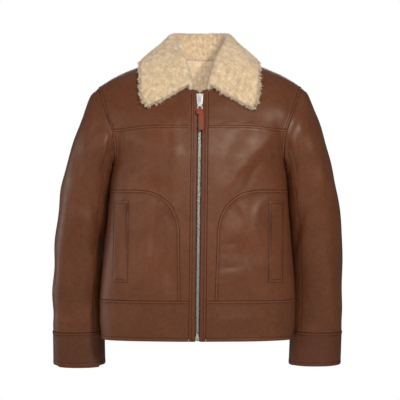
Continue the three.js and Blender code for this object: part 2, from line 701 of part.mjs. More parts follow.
// Turn of each section of the collar, the same number of them on each side.
const COLLAR_STEPS = { back: 9, front: 8 };
function collarTurn(i) {
  const { back: rear, front: fore } = COLLAR_STEPS;
  const last = COLLAR[COLLAR.length - 1].turn;
  return i <= rear ? (90 * i) / rear : mix(90, last, (i - rear) / fore);
}
function collar() {
  const steps = COLLAR_STEPS.back + COLLAR_STEPS.front;
  const rows = [];
  for (let i = -steps; i <= steps; i += 1) {
    const turn = collarTurn(Math.abs(i));
    const side = Math.sign(i) || 1;
    const row = collarProfile(turn).map((p) => hang(mirrored(p, side)));
    const { out } = neckSide(turn);
    row[0].away = mirrored(out.z < 0 ? out.negate() : out, side);
    rows.push(row);
  }
  return faceAway(rows, new THREE.Vector3(0, 0, NECK_MIDDLE), [steps, 1]);
}

// Zip: a strip of teeth down the middle, and a tape on each side behind the placket.
const ZIP_ROWS = 24;
function zipTeeth() {
  return grid(1, ZIP_ROWS, (u, v) => {
    const z = mix(HEM + CHAIN.aboveHem, CHAIN.top, v);
    return hang(onBody(mix(-TEETH, TEETH, u), z, "front", -CHAIN.sunk));
  });
}
function zipTape(side) {
  return grid(2, ZIP_ROWS, (u, v) => {
    const z = mix(HEM + TAPE.aboveHem, neckFront(0) - TAPE.belowNeck, v);
    const x = mix(TEETH + SEAM, PLACKET - TAPE.fromPlacketSeam, u);
    return hang(onBody(side * x, z, "front", -BAND - TAPE.behindPlacket));
  });
}

// A geometry as a solid that can be joined to others.
function toManifold(geometry) {
  const position = geometry.getAttribute("position");
  const ids = new Map();
  const vertices = [];
  const triangles = [];
  const count = geometry.index ? geometry.index.count : position.count;
  for (let i = 0; i < count; i += 1) {
    const k = geometry.index ? geometry.index.getX(i) : i;
    const point = [position.getX(k), position.getY(k), position.getZ(k)];
    const key = point.map((c) => c.toFixed(4)).join(",");
    if (!ids.has(key)) {
      ids.set(key, ids.size);
      vertices.push(...point);
    }
    triangles.push(ids.get(key));
  }
  const mesh = new wasm.Mesh({
    numProp: 3,
    vertProperties: new Float32Array(vertices),
    triVerts: new Uint32Array(triangles),
  });
  return new wasm.Manifold(mesh);
}
function fromManifold(made) {
  const { vertProperties, triVerts } = made.getMesh();
  const geometry = new THREE.BufferGeometry();
  geometry.setAttribute("position", new THREE.Float32BufferAttribute(vertProperties, 3));
  geometry.setIndex([...triVerts]);
  return geometry;
}
const block = (wide, deep, high, x, y, z) => new THREE.BoxGeometry(wide, deep, high).translate(x, y, z);
const joined = (list) => fromManifold(list.map(toManifold).reduce((a, b) => a.add(b)));

// A flat plate in the plane of the front, from an outline in x and z, with its front face at y.
function plate(shape, thick, y) {
  const made = new THREE.ExtrudeGeometry(shape, { depth: thick, bevelEnabled: false, curveSegments: 6 });
  return made.rotateX(Math.PI / 2).translate(0, y + thick, 0);
}

function roundedShape(halfTop, halfBottom, top, bottom, radius) {
  const shape = new THREE.Shape();
  shape.moveTo(-halfBottom + radius, bottom);
  shape.lineTo(halfBottom - radius, bottom);
  shape.quadraticCurveTo(halfBottom, bottom, halfBottom, bottom + radius);
  shape.lineTo(halfTop, top - radius);
  shape.quadraticCurveTo(halfTop, top, halfTop - radius, top);
  shape.lineTo(-halfTop + radius, top);
  shape.quadraticCurveTo(-halfTop, top, -halfTop, top - radius);
  shape.lineTo(-halfBottom, bottom + radius);
  shape.quadraticCurveTo(-halfBottom, bottom, -halfBottom + radius, bottom);
  return shape;
}

// Slider and pull, built upright round the hinge and then leaned back with the chest. y is 0 in the plane of
// the pull, and the teeth run between the slider's front plate and its rear one.
const HINGE = { z: -98, proud: 4.4 };
const SLIDER = {
  top: 9, bottom: -17, halfTop: 7.6, halfBottom: 6, corner: 1.6, thick: 1.8, gap: 2.8, clear: 3.8,
};
const POST = { wide: 5, deep: 9.8, high: 4.5, belowTop: 4, sunk: 0.2 };
const REAR = { wide: 11, thick: 1.4, high: 20, z: -1.6, sunk: 0.4 };
const BRIDGE = { wide: 3, thick: 1.3, high: 10.6, legHigh: 1.8, legZ: 4.4, legReach: 2.2, legY: -0.3 };
const PULL = {
  top: 0.8, halfTop: 3.4, waist: 18, halfFoot: 6.4, footHigh: 5, length: 29, thick: 1.5, clear: 4.6,
};
const EYE = { half: 2.1, top: -0.8, bottom: -6.4 };
const SLOT = { half: 4.6, aboveFoot: 1.8 };
const LEAN_STEP = 2;

const hingePlace = () => {
  const base = hang(onBody(0, HINGE.z, "front"));
  return new THREE.Vector3(base.x, base.y - HINGE.proud, base.z);
};
// How far a piece of some length leans, so that it lies along the chest below the hinge.
function leanAlong(length, clear) {
  const hinge = hingePlace();
  let lean = 0;
  for (let down = LEAN_STEP; down <= length; down += LEAN_STEP) {
    const front = onBody(0, HINGE.z - down, "front", clear);
    lean = Math.max(lean, Math.atan2(hinge.y - front.y, down));
  }
  return lean;
}

function sliderBody() {
  const { top, bottom, halfTop, halfBottom, corner, thick, gap } = SLIDER;
  const plateBack = gap / 2 + thick;
  const face = plate(roundedShape(halfTop, halfBottom, top, bottom, corner), thick, gap / 2);
  const postY = plateBack + POST.deep / 2 - POST.sunk;
  const post = block(POST.wide, POST.deep, POST.high, 0, postY, top - POST.belowTop);
  const rear = block(REAR.wide, REAR.thick, REAR.high, 0, plateBack + POST.deep - REAR.sunk, REAR.z);
  const legs = [-1, 1].map((way) =>
    block(BRIDGE.wide, gap + BRIDGE.legReach, BRIDGE.legHigh, 0, BRIDGE.legY, way * BRIDGE.legZ),
  );
  const over = block(BRIDGE.wide, BRIDGE.thick, BRIDGE.high, 0, -(gap + BRIDGE.thick) / 2, 0);
  return joined([face, post, rear, ...legs, over]);
}

// Metal pull: a plate with an eye round the slider's bridge and a slot for the leather at its foot.
function pullPlate() {
  const { top, halfTop, waist, halfFoot, footHigh, length, thick } = PULL;
  const shape = new THREE.Shape();
  shape.moveTo(-halfTop, top);
  shape.lineTo(-halfTop, -waist);
  shape.lineTo(-halfFoot, -length + footHigh);
  shape.lineTo(-halfFoot, -length);
  shape.lineTo(halfFoot, -length);
  shape.lineTo(halfFoot, -length + footHigh);
  shape.lineTo(halfTop, -waist);
  shape.lineTo(halfTop, top);
  const hole = (half, high, low) => {
    const path = new THREE.Path();
    path.moveTo(-half, low);
    path.lineTo(-half, high);
    path.lineTo(half, high);
    path.lineTo(half, low);
    return path;
  };
  shape.holes.push(hole(EYE.half, EYE.top, EYE.bottom));
  shape.holes.push(hole(SLOT.half, -length + footHigh, -length + SLOT.aboveFoot));
  return plate(shape, thick, -thick / 2);
}

// Leather tab: a strap through the slot, folded down on itself, with a keeper round its neck and a tongue
// below.
const TAB = { top: -24.6, layer: 1.7, spread: 1.15 };
const STRAP = { wide: 5.6, high: 10, overHigh: 1.2 };
const KEEPER = { halfTop: 8, halfBottom: 8, belowTop: 5.4, high: 13.5, corner: 5.4, thicker: 1.2 };
const TONGUE = { half: 5.4, aside: 2.8, belowTop: 12, length: 57.5, corner: 2.6, thicker: 0.4 };
function leatherTab() {
  const { top, layer, spread } = TAB;
  const through = spread + layer;
  const strapZ = top - (STRAP.high - STRAP.overHigh) / 2;
  const layers = [-1, 1].map((way) =>
    block(STRAP.wide, layer, STRAP.high, 0, way * (spread + layer / 2), strapZ),
  );
  const over = block(STRAP.wide, 2 * through, STRAP.overHigh, 0, 0, top);
  const keeperTop = top - KEEPER.belowTop;
  const keeper = plate(
    roundedShape(KEEPER.halfTop, KEEPER.halfBottom, keeperTop, keeperTop - KEEPER.high, KEEPER.corner),
    2 * through + KEEPER.thicker,
    -through - KEEPER.thicker / 2,
  );
  const tongue = plate(
    roundedShape(TONGUE.half, TONGUE.half, top - TONGUE.belowTop, top - TONGUE.length, TONGUE.corner),
    2 * layer + TONGUE.thicker,
    -layer - TONGUE.thicker / 2,
  ).translate(TONGUE.aside, 0, 0);
  return joined([...layers, over, keeper, tongue]);
}

function placeAtHinge(mesh, lean) {
  mesh.position.copy(hingePlace());
  mesh.rotation.x = -lean;
  return mesh;
}

const BOX = { wide: 8.6, deep: 3.4, top: 11.4, bottom: 1.5, behind: 1.1 };
function zipBox() {
  const middle = HEM + (BOX.top + BOX.bottom) / 2;
  const at = hang(onBody(0, middle, "front"));
  return block(BOX.wide, BOX.deep, BOX.top - BOX.bottom, at.x, at.y + BOX.behind, middle);
}

const SIDES = [
  ["right", -1],
  ["left", 1],
];

const inFront = { keep: (p) => p.setY(Math.min(p.y, body("mid", p.z) - HALF_SEAM)) };
const behind = { keep: (p) => p.setY(Math.max(p.y, body("mid", p.z) + HALF_SEAM)) };

add("collar", wall(collar(), SHEARLING), WOOL);
add("neck_lining", wall(lining(), LINING.thick), WOOL);
add("back", wall(back(), LEATHER, behind), LEATHER_BROWN);
add("hem_band_back", wall(hemBack(), BAND, behind), LEATHER_BROWN);
for (const [name, side] of SIDES) {
  add(`yoke_${name}`, wall(yoke(side), LEATHER, inFront), LEATHER_BROWN);
  add(`front_${name}`, wall(chest(side), LEATHER, inFront), LEATHER_BROWN);
  add(`pocket_panel_${name}`, wall(pocketPanel(side), LEATHER, inFront), LEATHER_BROWN);
  add(`pocket_welt_${name}`, wall(welt(side), WELT.thick), LEATHER_BROWN);
  add(`placket_${name}`, wall(placket(side), BAND), LEATHER_BROWN);
  add(`hem_band_front_${name}`, wall(hemFront(side), BAND, inFront), LEATHER_BROWN);
  const { front, back: rear } = SLEEVE_SEAMS;
  add(`sleeve_top_${name}`, wall(sleevePiece(side, rear - COLUMNS, front), LEATHER), LEATHER_BROWN);
  add(`sleeve_under_${name}`, wall(sleevePiece(side, front, rear), LEATHER), LEATHER_BROWN);
  add(`cuff_${name}`, wall(cuff(side), BAND, { ring: true }), LEATHER_BROWN);
  add(`zip_tape_${name}`, wall(zipTape(side), TAPE.thick), TAPE_CLOTH);
}
add("zip_teeth", wall(zipTeeth(), TEETH_THICK), METAL);
add("zip_box", zipBox(), METAL);
const pullLean = leanAlong(TONGUE.length - TAB.top, PULL.clear);
placeAtHinge(add("zip_slider", sliderBody(), METAL), leanAlong(-SLIDER.bottom, SLIDER.clear));
placeAtHinge(add("zip_pull", pullPlate(), METAL), pullLean);
placeAtHinge(add("pull_tab", leatherTab(), TAN), pullLean);

export default group;
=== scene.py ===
"""A zip-front leather jacket with a folded shearling collar, filled out as if worn, with no wearer in it.

The places and sizes are in millimetres, in the row frame: +Z is up and the front faces -Y. Only the finished
meshes, lights and camera are in metres.
"""

import math

import bmesh
import bpy
import numpy as np
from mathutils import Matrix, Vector


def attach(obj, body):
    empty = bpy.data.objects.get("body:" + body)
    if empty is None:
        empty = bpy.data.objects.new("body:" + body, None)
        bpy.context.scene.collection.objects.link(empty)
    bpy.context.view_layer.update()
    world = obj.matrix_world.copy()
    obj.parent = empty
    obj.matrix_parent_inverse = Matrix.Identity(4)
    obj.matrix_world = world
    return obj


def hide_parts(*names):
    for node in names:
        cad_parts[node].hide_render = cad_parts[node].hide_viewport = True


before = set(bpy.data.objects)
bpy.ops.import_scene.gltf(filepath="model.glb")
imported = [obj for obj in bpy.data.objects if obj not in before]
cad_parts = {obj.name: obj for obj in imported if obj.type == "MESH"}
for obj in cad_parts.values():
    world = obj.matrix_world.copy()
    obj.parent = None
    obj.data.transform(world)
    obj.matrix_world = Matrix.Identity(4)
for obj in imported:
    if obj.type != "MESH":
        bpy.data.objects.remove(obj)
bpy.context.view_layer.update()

MM = 0.001
SIDES = (("right", -1), ("left", 1))
SEED = 7


def table(names, rows):
    """Columns of a table by name, the first of them rising."""
    return dict(zip(names.split(), np.array(rows, float).T))


# Leather, seams and the way the whole jacket hangs, as in the part
LEATHER = 2.5
BAND = 3.0
SEAM = 0.4
HALF_SEAM = SEAM / 2
SHEARLING = 10.0
DRIFT = -7.0

HEM = -645.0
HEM_SEAM = -554.0
POCKET_SEAM = -307.0
YOKE_SEAM = -162.0
YOKE_SEAM_AT_ARMHOLE = -170.0
ARMPIT = -243.0
SHOULDER_X = 233.0
SHOULDER_Z = -71.0
NECK_HALF = 78.0
NECK_FRONT_DROP = 82.0
NECK_BACK_DROP = 10.0
ZIP_GAP = 5.0
PLACKET = 19.0
TEETH = 3.3

BODY = table("z half front back mid", [
    (-645, 217.5, 92, 139, -36),
    (-605, 221.5, 96, 143, -37),
    (-555, 222, 99, 147, -38),
    (-500, 218.5, 101, 150, -38),
    (-421, 211, 102, 154, -38),
    (-329, 203, 103, 156, -36),
    (-283, 200, 106, 154, -32),
    (-243, 197, 115, 147, -22),
    (-225, 207, 119, 144, -17),
    (-190, 238, 123, 137, -8),
    (-150, 262, 124, 128, -1),
    (-100, 282, 122, 118, 4),
    (-50, 290, 117, 112, 5),
    (40, 290, 113, 108, 5),
])
SQUARENESS = {"front": 2.35, "back": 2.25}
ARCH_DEPTH = 260.0
ARCH = {"front": (1.8, 2.6), "back": (2.3, 2.7)}
ARMHOLE = table("z front back", [
    (-243, 197, 197),
    (-236, 193, 195),
    (-225, 191.5, 195),
    (-205, 192.5, 198),
    (-182, 195.5, 203),
    (-160, 201.5, 208),
    (-139, 209, 213),
    (-100, 222, 224),
    (-71, 233, 233),
])
SLEEVE = table("at outX outZ inX inZ deep mid dip", [
    (0, 233, -71, 197, -243, 80, 0, 0),
    (1, 251, -92, 198.5, -251, 82, 2, 0),
    (2, 272, -143, 198, -264, 83, 5, 0),
    (3, 291, -200, 198, -284, 81, 9, 0),
    (4, 309, -266, 200.5, -316, 78, 13, 0),
    (5, 321.5, -335, 205, -360, 74, 17, 1),
    (6, 331, -420, 211, -428, 68, 22, 2),
    (7, 334, -500, 215.5, -500, 61, 26, 3),
    (8, 334.5, -570, 217, -566, 53, 27, 4),
    (9, 333.5, -630, 215, -628, 46, 26, 5),
    (10, 331.5, -706, 212.5, -706, 42, 23, 5),
])
SLEEVE_SQUARENESS = 2.45
LOOP_FADE = 3.0
COLUMNS_ROUND = 20
COLUMN = 2 * math.pi / COLUMNS_ROUND
SLEEVE_FRONT_SEAM = 7
SLEEVE_BACK_SEAM = 13
CUFF_AT = 9.0
CUFF_END = 10.0
CUFF_LENGTH = 76.0
CUFF_LAP = 0.006
ARMHOLE_GAP = 0.04
SEAM_TURN = 0.004

# Soft folds and creases of the body. x, z: middle; long, wide: half sizes; lean: degrees from upright, the
# top towards +X; deep: height of a ridge, or less than 0 for a trough. The folds are the part's own, and the
# finer creases are here only.
FOLD_COLUMNS = "x z long wide lean deep"
FOLDS = {
    "front": table(FOLD_COLUMNS, [
        (108, -238, 85, 26, 38, 4),
        (70, -205, 75, 20, 34, -3),
        (-62, -270, 95, 22, -6, 3.5),
        (-92, -300, 90, 18, -8, -3),
        (122, -372, 60, 20, -28, 3),
        (60, -500, 22, 45, 6, 3),
        (-84, -520, 55, 22, 4, 3),
    ]),
    "back": table(FOLD_COLUMNS, [
        (-95, -270, 90, 26, 24, 4),
        (100, -285, 95, 24, -22, 4),
        (10, -430, 110, 30, 5, -3.5),
        (-60, -480, 80, 24, -7, 3),
    ]),
}
CREASES = {
    "front": table(FOLD_COLUMNS, [
        (-186, -206, 40, 9, 9, -4.6),
        (-166, -222, 26, 8, 30, -2.2),
        (-150, -262, 34, 9, 58, -1.3),
        (186, -200, 42, 9, -9, -4.4),
        (160, -248, 32, 8, -52, -1.5),
        (146, -205, 44, 10, 33, 1.6),
        (88, -262, 40, 9, 41, 1.4),
        (120, -268, 36, 9, 30, -1.5),
        (-47, -215, 46, 10, -4, 1.3),
        (-72, -196, 40, 9, 7, -1.2),
        (-108, -232, 46, 11, -12, 1.1),
        (96, -348, 26, 8, -26, 1.6),
        (-96, -372, 70, 9, 3, -1.5),
        (-74, -400, 60, 8, -4, 1.1),
        (-122, -360, 60, 9, 4, 1.2),
        (112, -390, 55, 9, 12, -1.4),
        (136, -350, 34, 8, 30, 1.2),
        (138, -398, 30, 9, -33, -1.2),
        (70, -426, 17, 5, 82, -1.0),
        (58, -449, 14, 4.5, 98, -0.8),
        (74, -476, 20, 5, 85, -1.1),
        (57, -507, 16, 5, 94, -0.8),
        (104, -455, 34, 10, -18, -1.2),
        (-120, -438, 46, 10, 6, 1.5),
        (-101, -455, 40, 8, 9, -1.2),
        (-66, -360, 42, 10, -5, -1.2),
        (-80, -519, 22, 8, 4, 1.4),
        (-150, -500, 34, 10, -10, -1.1),
        (92, -597, 11, 34, 4, 1.6),
        (54, -588, 9, 20, -6, -1.0),
        (-96, -600, 20, 14, 8, 1.2),
        (-160, -588, 22, 12, -9, -1.0),
        (170, -560, 30, 11, 8, -1.0),
    ]),
    "back": table(FOLD_COLUMNS, [
        (-172, -228, 34, 8, 20, -2.6),
        (176, -222, 32, 8, -17, -2.4),
        (-142, -190, 52, 12, 38, 1.8),
        (138, -205, 48, 11, -35, 1.9),
        (-60, -210, 60, 13, 12, -1.4),
        (52, -250, 64, 12, -9, -1.5),
        (-130, -345, 46, 11, 31, -1.5),
        (128, -362, 50, 12, -27, -1.4),
        (40, -355, 58, 12, 8, 1.3),
        (-28, -500, 40, 9, 78, -1.1),
        (48, -520, 44, 8, 98, -1.3),
        (-96, -530, 36, 8, 84, -1.0),
        (120, -480, 46, 11, -16, 1.4),
        (-150, -468, 44, 11, 12, -1.2),
        (-110, -600, 20, 16, 4, 1.3),
        (64, -592, 22, 15, -7, -1.1),
        (152, -598, 19, 13, 6, 1.1),
    ]),
}
FOLD_CLEARANCE = 50.0

# The same round the sleeves. at, long: along the sleeve, in its sections; turn, wide: round it, in radians
# from its outer edge, a quarter turn at the front; lean: change of turn per section
SLEEVE_FOLD_COLUMNS = "at long turn wide lean deep"
SLEEVE_FOLDS = {
    -1: table(SLEEVE_FOLD_COLUMNS, [
        (5.5, 0.9, 2.35, 0.26, 0.5, -5),
        (6.2, 0.9, 1.9, 0.3, 0.4, 3),
        (1.7, 1.4, 1.75, 0.28, -0.05, 3.5),
        (3.4, 1.5, 1.0, 0.3, 0.1, -3),
        (5.6, 0.8, 4.4, 0.3, 0.3, -4),
    ]),
    1: table(SLEEVE_FOLD_COLUMNS, [
        (5.7, 0.9, 2.3, 0.26, 0.5, -5),
        (4.9, 0.9, 1.7, 0.3, 0.45, 3),
        (1.9, 1.3, 1.65, 0.28, 0.05, 3.5),
        (7.4, 1.3, 1.2, 0.32, -0.1, 2.5),
        (5.9, 0.8, 4.3, 0.3, 0.3, -4),
    ]),
}
SLEEVE_CREASES = {
    -1: table(SLEEVE_FOLD_COLUMNS, [
        (5.05, 0.28, 2.15, 0.5, 0.9, -1.7),
        (5.6, 0.22, 1.75, 0.42, 1.1, -1.4),
        (6.15, 0.24, 2.2, 0.5, 0.8, -1.5),
        (4.4, 0.3, 1.95, 0.45, 1.0, -1.1),
        (0.7, 0.5, 2.0, 0.3, 0.0, -2.6),
        (1.9, 1.1, 3.0, 0.45, 0.0, 2.4),
        (1.3, 0.7, 1.8, 0.13, 0.1, 1.6),
        (2.6, 0.9, 2.1, 0.12, 0.05, -1.6),
        (1.4, 0.8, 1.35, 0.12, -0.1, -1.2),
        (2.4, 1.6, 1.6, 0.18, 0.03, 1.5),
        (7.6, 0.5, 1.4, 0.4, 0.5, 1.3),
        (8.3, 0.2, 1.1, 0.6, 0.3, -1.0),
        (7.1, 0.6, 0.5, 0.14, 0.1, -1.1),
        (5.3, 0.26, 4.2, 0.5, -0.8, -1.9),
        (5.9, 0.24, 4.6, 0.5, -0.9, -1.7),
        (6.5, 0.22, 4.3, 0.4, -0.7, -1.2),
        (3.0, 0.8, 4.2, 0.13, 0.08, -1.5),
        (8.2, 0.22, 4.4, 0.6, 0.3, -1.1),
    ]),
    1: table(SLEEVE_FOLD_COLUMNS, [
        (5.2, 0.26, 2.05, 0.48, 0.9, -1.6),
        (5.85, 0.24, 1.8, 0.45, 1.0, -1.6),
        (6.35, 0.22, 2.1, 0.4, 0.9, -1.3),
        (4.5, 0.28, 1.7, 0.4, 1.1, -1.1),
        (0.7, 0.5, 2.0, 0.3, 0.0, -2.4),
        (1.9, 1.1, 3.0, 0.45, 0.0, 2.2),
        (1.5, 0.8, 1.8, 0.13, 0.08, 1.5),
        (2.9, 0.9, 2.05, 0.12, 0.06, -1.5),
        (1.2, 0.7, 1.2, 0.12, 0.1, -1.2),
        (3.6, 0.8, 1.1, 0.13, 0.12, 1.2),
        (2.2, 1.8, 1.25, 0.24, 0.04, 1.9),
        (3.2, 1.5, 1.75, 0.2, 0.06, -1.3),
        (8.1, 0.22, 1.5, 0.6, -0.3, -1.1),
        (6.9, 0.7, 0.6, 0.14, -0.1, -1.0),
        (5.5, 0.26, 4.1, 0.5, -0.8, -1.8),
        (6.1, 0.22, 4.5, 0.5, -0.9, -1.6),
        (4.8, 0.24, 4.5, 0.4, -0.7, -1.2),
        (2.7, 0.8, 4.3, 0.13, -0.07, -1.4),
        (8.4, 0.2, 4.6, 0.6, 0.3, -1.0),
    ]),
}

# Collar, from the middle of the back (turn 0) round the side of the neck (90) to the zip: the part's own,
# with the fall flatter and up to 3 mm narrower near its tip
COLLAR = table("turn foldX foldY foldZ edgeX reach droop", [
    (0, 0, 80, 49, 0, -9.3, 0),
    (30, 38, 72, 49, 57, -8.1, 0),
    (60, 63, 47, 46, 109, -6, 0),
    (90, 65, 10, 34, 130, -1, 0),
    (115, 53, -24, 9, 135, 5.7, 0),
    (142, 37, -56, -26, 132.5, 8.9, 1.5),
    (168, 26, -88, -76, 120, 10.35, 7),
])
COLLAR_SEAM = 0.8
FOLD_RADIUS = 4.0
FOLD_END = 0.95  # share of a half turn that the fold goes round
COLLAR_LIFT = 4.0
BULGE_UP = 3.4
BULGE_OUT = 1.2

POCKET_TOP_X = 139.0
POCKET_SIDE_X = 42.0
POCKET_LOW_Z = -409.0
POCKET_HEM_X = 38.5
POCKET_ROUNDNESS = 2.22
POCKET_STRAIGHT = 0.3
POCKET_CURVED = 0.72
SEAM_CORNER = 0.5
WELT_INNER = 156.5
WELT_OUTER = 190.0
WELT_TOP = -331.0
WELT_BOTTOM = -513.0
WELT_THICK = 2.0
LINING_HALF = 59.0
LINING_UP = 8.0  # how far its wool reaches up inside the stand
LINING_BOTTOM = -130.0
LINING_THICK = 6.0
LINING_GAP = 1.05
LINING_GAP_AT_NECK = 2.0
CHAIN_TOP = -101.0
TAPE_THICK = 0.8
TAPE_ROOM = 0.3

# Sewing
STITCH_ROW = 5.4  # distance of a row of stitches from its seam
HEM_ROW = 8.0
STITCH_PITCH = 4.1
STITCH_LONG = 3.3
STITCH_HALF = 0.42

# Mesh cells: near an edge they are fine, to hold the rounding and the sewing beside it
EDGE_STEPS = np.array([0, 0.6, 1.2, 1.9, 2.7, 3.6, 4.6, 5.5, 6.4, 7.5, 9.0, 11.2, 14.2])
CELL = 5.0


def mix(a, b, share):
    return a + (b - a) * share


def smooth(share):
    held = np.clip(share, 0, 1)
    return held * held * (3 - 2 * held)


def power(value, exponent):
    return np.sign(value) * np.abs(value) ** exponent


def unit(vectors):
    return vectors / np.maximum(np.linalg.norm(vectors, axis=-1, keepdims=True), 1e-12)


def bell(distance, width):
    return np.exp(-((distance / width) ** 2))


def sample(rows, column, at):
    """Smooth value of a table's column at a place given in its first column."""
    key = next(iter(rows.values()))
    value = rows[column]
    last = len(key) - 1
    i = np.clip(np.searchsorted(key[1:], at, side="left"), 0, last - 1)
    before, after = np.maximum(i - 1, 0), np.minimum(i + 2, last)
    step = key[i + 1] - key[i]
    t = np.clip((at - key[i]) / step, 0, 1)
    slope_a = (value[i + 1] - value[before]) / (key[i + 1] - key[before]) * step
    slope_b = (value[after] - value[i]) / (key[after] - key[i]) * step
    return (
        value[i] * (2 * t**3 - 3 * t**2 + 1)
        + slope_a * (t**3 - 2 * t**2 + t)
        + value[i + 1] * (3 * t**2 - 2 * t**3)
        + slope_b * (t**3 - t**2)
    )


class Ripple:
    """Smooth seeded noise of about -1 to 1, the sum of waves of some lengths in many directions."""

    def __init__(self, seed, short, long, waves=14, axes=3):
        draw = np.random.default_rng(SEED * 100 + seed)
        ways = unit(draw.normal(size=(waves, axes)))
        self.waves = ways * (2 * np.pi / draw.uniform(short, long, waves))[:, None]
        self.phase = draw.uniform(0, 2 * np.pi, waves)
        self.height = draw.uniform(0.6, 1.0, waves) * (2 / waves) ** 0.5

    def __call__(self, *place):
        """Height at a place, its coordinates given one by one."""
        total = 0.0
        for wave, phase, height in zip(self.waves, self.phase, self.height):
            total = total + height * np.sin(sum(w * p for w, p in zip(wave, place)) + phase)
        return total


SWELL = 1.35
CREASING = 1.45  # depth of the creases, as a share of the depths in their tables
CREASE_WARP = 2.6
SIDE_CALM = 7
SHOULDER_CALM = 45
SHOULDER_SLOPE = 0.36
SHOULDER_ROUNDS_AT = 120
SHOULDER_ROUNDS_BY = 1.05e-5
BODY_SWELL = {"front": Ripple(1, 55, 140, axes=2), "back": Ripple(2, 55, 140, axes=2)}
BODY_WARP = Ripple(3, 45, 90, axes=2)
SLEEVE_SWELL = {-1: Ripple(4, 60, 140), 1: Ripple(5, 60, 140)}
PUCKER = Ripple(6, 9, 22)


def body(column, z):
    return sample(BODY, column, z)


def shoulder(x):
    """Height of the shoulder line over a place x from the middle."""
    outer = np.maximum(0, np.abs(x) - SHOULDER_ROUNDS_AT)
    return -SHOULDER_SLOPE * (np.abs(x) - NECK_HALF) - SHOULDER_ROUNDS_BY * outer**3


def folds(rows, x, z, warp=0.0):
    """How far the folds of a table stand out at a place seen from the front."""
    out = 0.0
    for fold_x, fold_z, long, wide, lean, deep in zip(*rows.values()):
        sine, cosine = math.sin(math.radians(lean)), math.cos(math.radians(lean))
        along = ((x - fold_x) * sine + (z - fold_z) * cosine) / long
        across = ((x - fold_x) * cosine - (z - fold_z) * sine + warp) / wide
        out = out + deep * np.exp(-(along**2) - across**2)
    return out


def body_relief(x, z, face):
    """Large folds, creases and the slight swell of soft leather."""
    across = np.abs(x) / body("half", z)
    calm = smooth((1 - across) * SIDE_CALM) * smooth((shoulder(x) - z) / SHOULDER_CALM)
    creases = CREASING * folds(CREASES[face], x, z, warp=CREASE_WARP * BODY_WARP(x, z))
    fine = creases + SWELL * BODY_SWELL[face](x, z)
    out = folds(FOLDS[face], x, z) + calm * fine
    return out * smooth((np.abs(x) - PLACKET) / FOLD_CLEARANCE) if face == "front" else out


def depth(x, z, face):
    across = np.minimum(1, np.abs(x) / body("half", z))
    below = np.clip((shoulder(x) - z) / ARCH_DEPTH, 0, 1)
    arch = mix(*ARCH[face], np.minimum(1, np.abs(x) / SHOULDER_X))
    rounded = (1 - (1 - below) ** arch) ** (1 / arch)
    square = SQUARENESS[face]
    return body(face, z) * np.maximum(0, 1 - across**square) ** (1 / square) * rounded


def body_place(x, z, face):
    away = depth(x, z, face) + HALF_SEAM + body_relief(x, z, face)
    y = body("mid", z) + (-away if face == "front" else away)
    return np.stack(np.broadcast_arrays(x, y, z), -1)


TURN_STEP = 0.02


def angled(angle, z, face, out=0.0):
    """Places on the body by angle round it, moved out, and their directions out of the leather."""
    angle, z = np.broadcast_arrays(np.asarray(angle, float), np.asarray(z, float))

    def place(turn, height):
        return body_place(body("half", height) * np.sin(turn), height, face)

    point = place(angle, z)
    way = np.where(angle < 0, -1.0, 1.0)
    around = (point - place(angle - way * TURN_STEP, z)) * way[..., None]
    up = point - place(angle, z - 1)
    away = unit(np.cross(around, up)) * (1 if face == "front" else -1)
    return point + away * np.asarray(out, float)[..., None], away


def angle_of(x, z):
    return np.arcsin(np.clip(x / body("half", z), -1, 1))


def on_body(x, z, face, out=0.0):
    return angled(angle_of(x, z), z, face, out)


def armhole(z, face):
    return sample(ARMHOLE, face, z)


def edge_angle(z, face, inset=0.0):
    return np.where(z <= ARMPIT, np.pi / 2, angle_of(armhole(z, face) - inset, z))


def hang(points):
    """The leaning and drifting that the whole garment shares."""
    moved = np.array(points, float)
    moved[..., 0] += DRIFT * moved[..., 2] / HEM
    return moved


def neckline(x, drop):
    return -drop * np.sqrt(np.maximum(0, 1 - (x / NECK_HALF) ** 2))


def neck_front(x):
    return neckline(x, NECK_FRONT_DROP)


def neck_back(x):
    return neckline(x, NECK_BACK_DROP)


YOKE_BENDS_AT = 100
YOKE_BENDS_OVER = 100


def yoke_seam(x):
    return mix(YOKE_SEAM, YOKE_SEAM_AT_ARMHOLE, smooth((x - YOKE_BENDS_AT) / YOKE_BENDS_OVER))


SIDE_FADE = 3


def patch(bottom, top, left, right):
    """A patch between four edges, each a function of a share that gives an angle and a height."""

    def place(u, v):
        corners = bottom(0.0), top(0.0), bottom(1.0), top(1.0)
        low, high, near, far = bottom(u), top(u), left(v), right(v)
        found = []
        for k in (0, 1):
            low_left, top_left, low_right, top_right = (corner[k] for corner in corners)
            bend_left = near[k] - mix(low_left, top_left, v)
            bend_right = far[k] - mix(low_right, top_right, v)
            straight = mix(low[k], high[k], v)
            found.append(straight + (1 - u) ** SIDE_FADE * bend_left + u**SIDE_FADE * bend_right)
        return found

    return place


NECK_SHARE = 0.5


def top_edge(start, neck):
    """The top edge of the front or back: the neckline, then the shoulder seam."""

    def place(u):
        end = SHOULDER_X - SEAM
        round_neck = mix(start, NECK_HALF, np.sin(np.minimum(u / NECK_SHARE, 1) * np.pi / 2))
        over = mix(NECK_HALF, end, (u - NECK_SHARE) / (1 - NECK_SHARE))
        x = np.where(np.asarray(u) < NECK_SHARE, round_neck, over)
        z = np.where(np.asarray(u) < NECK_SHARE, neck(x), shoulder(x))
        return angle_of(x, z), z

    return place


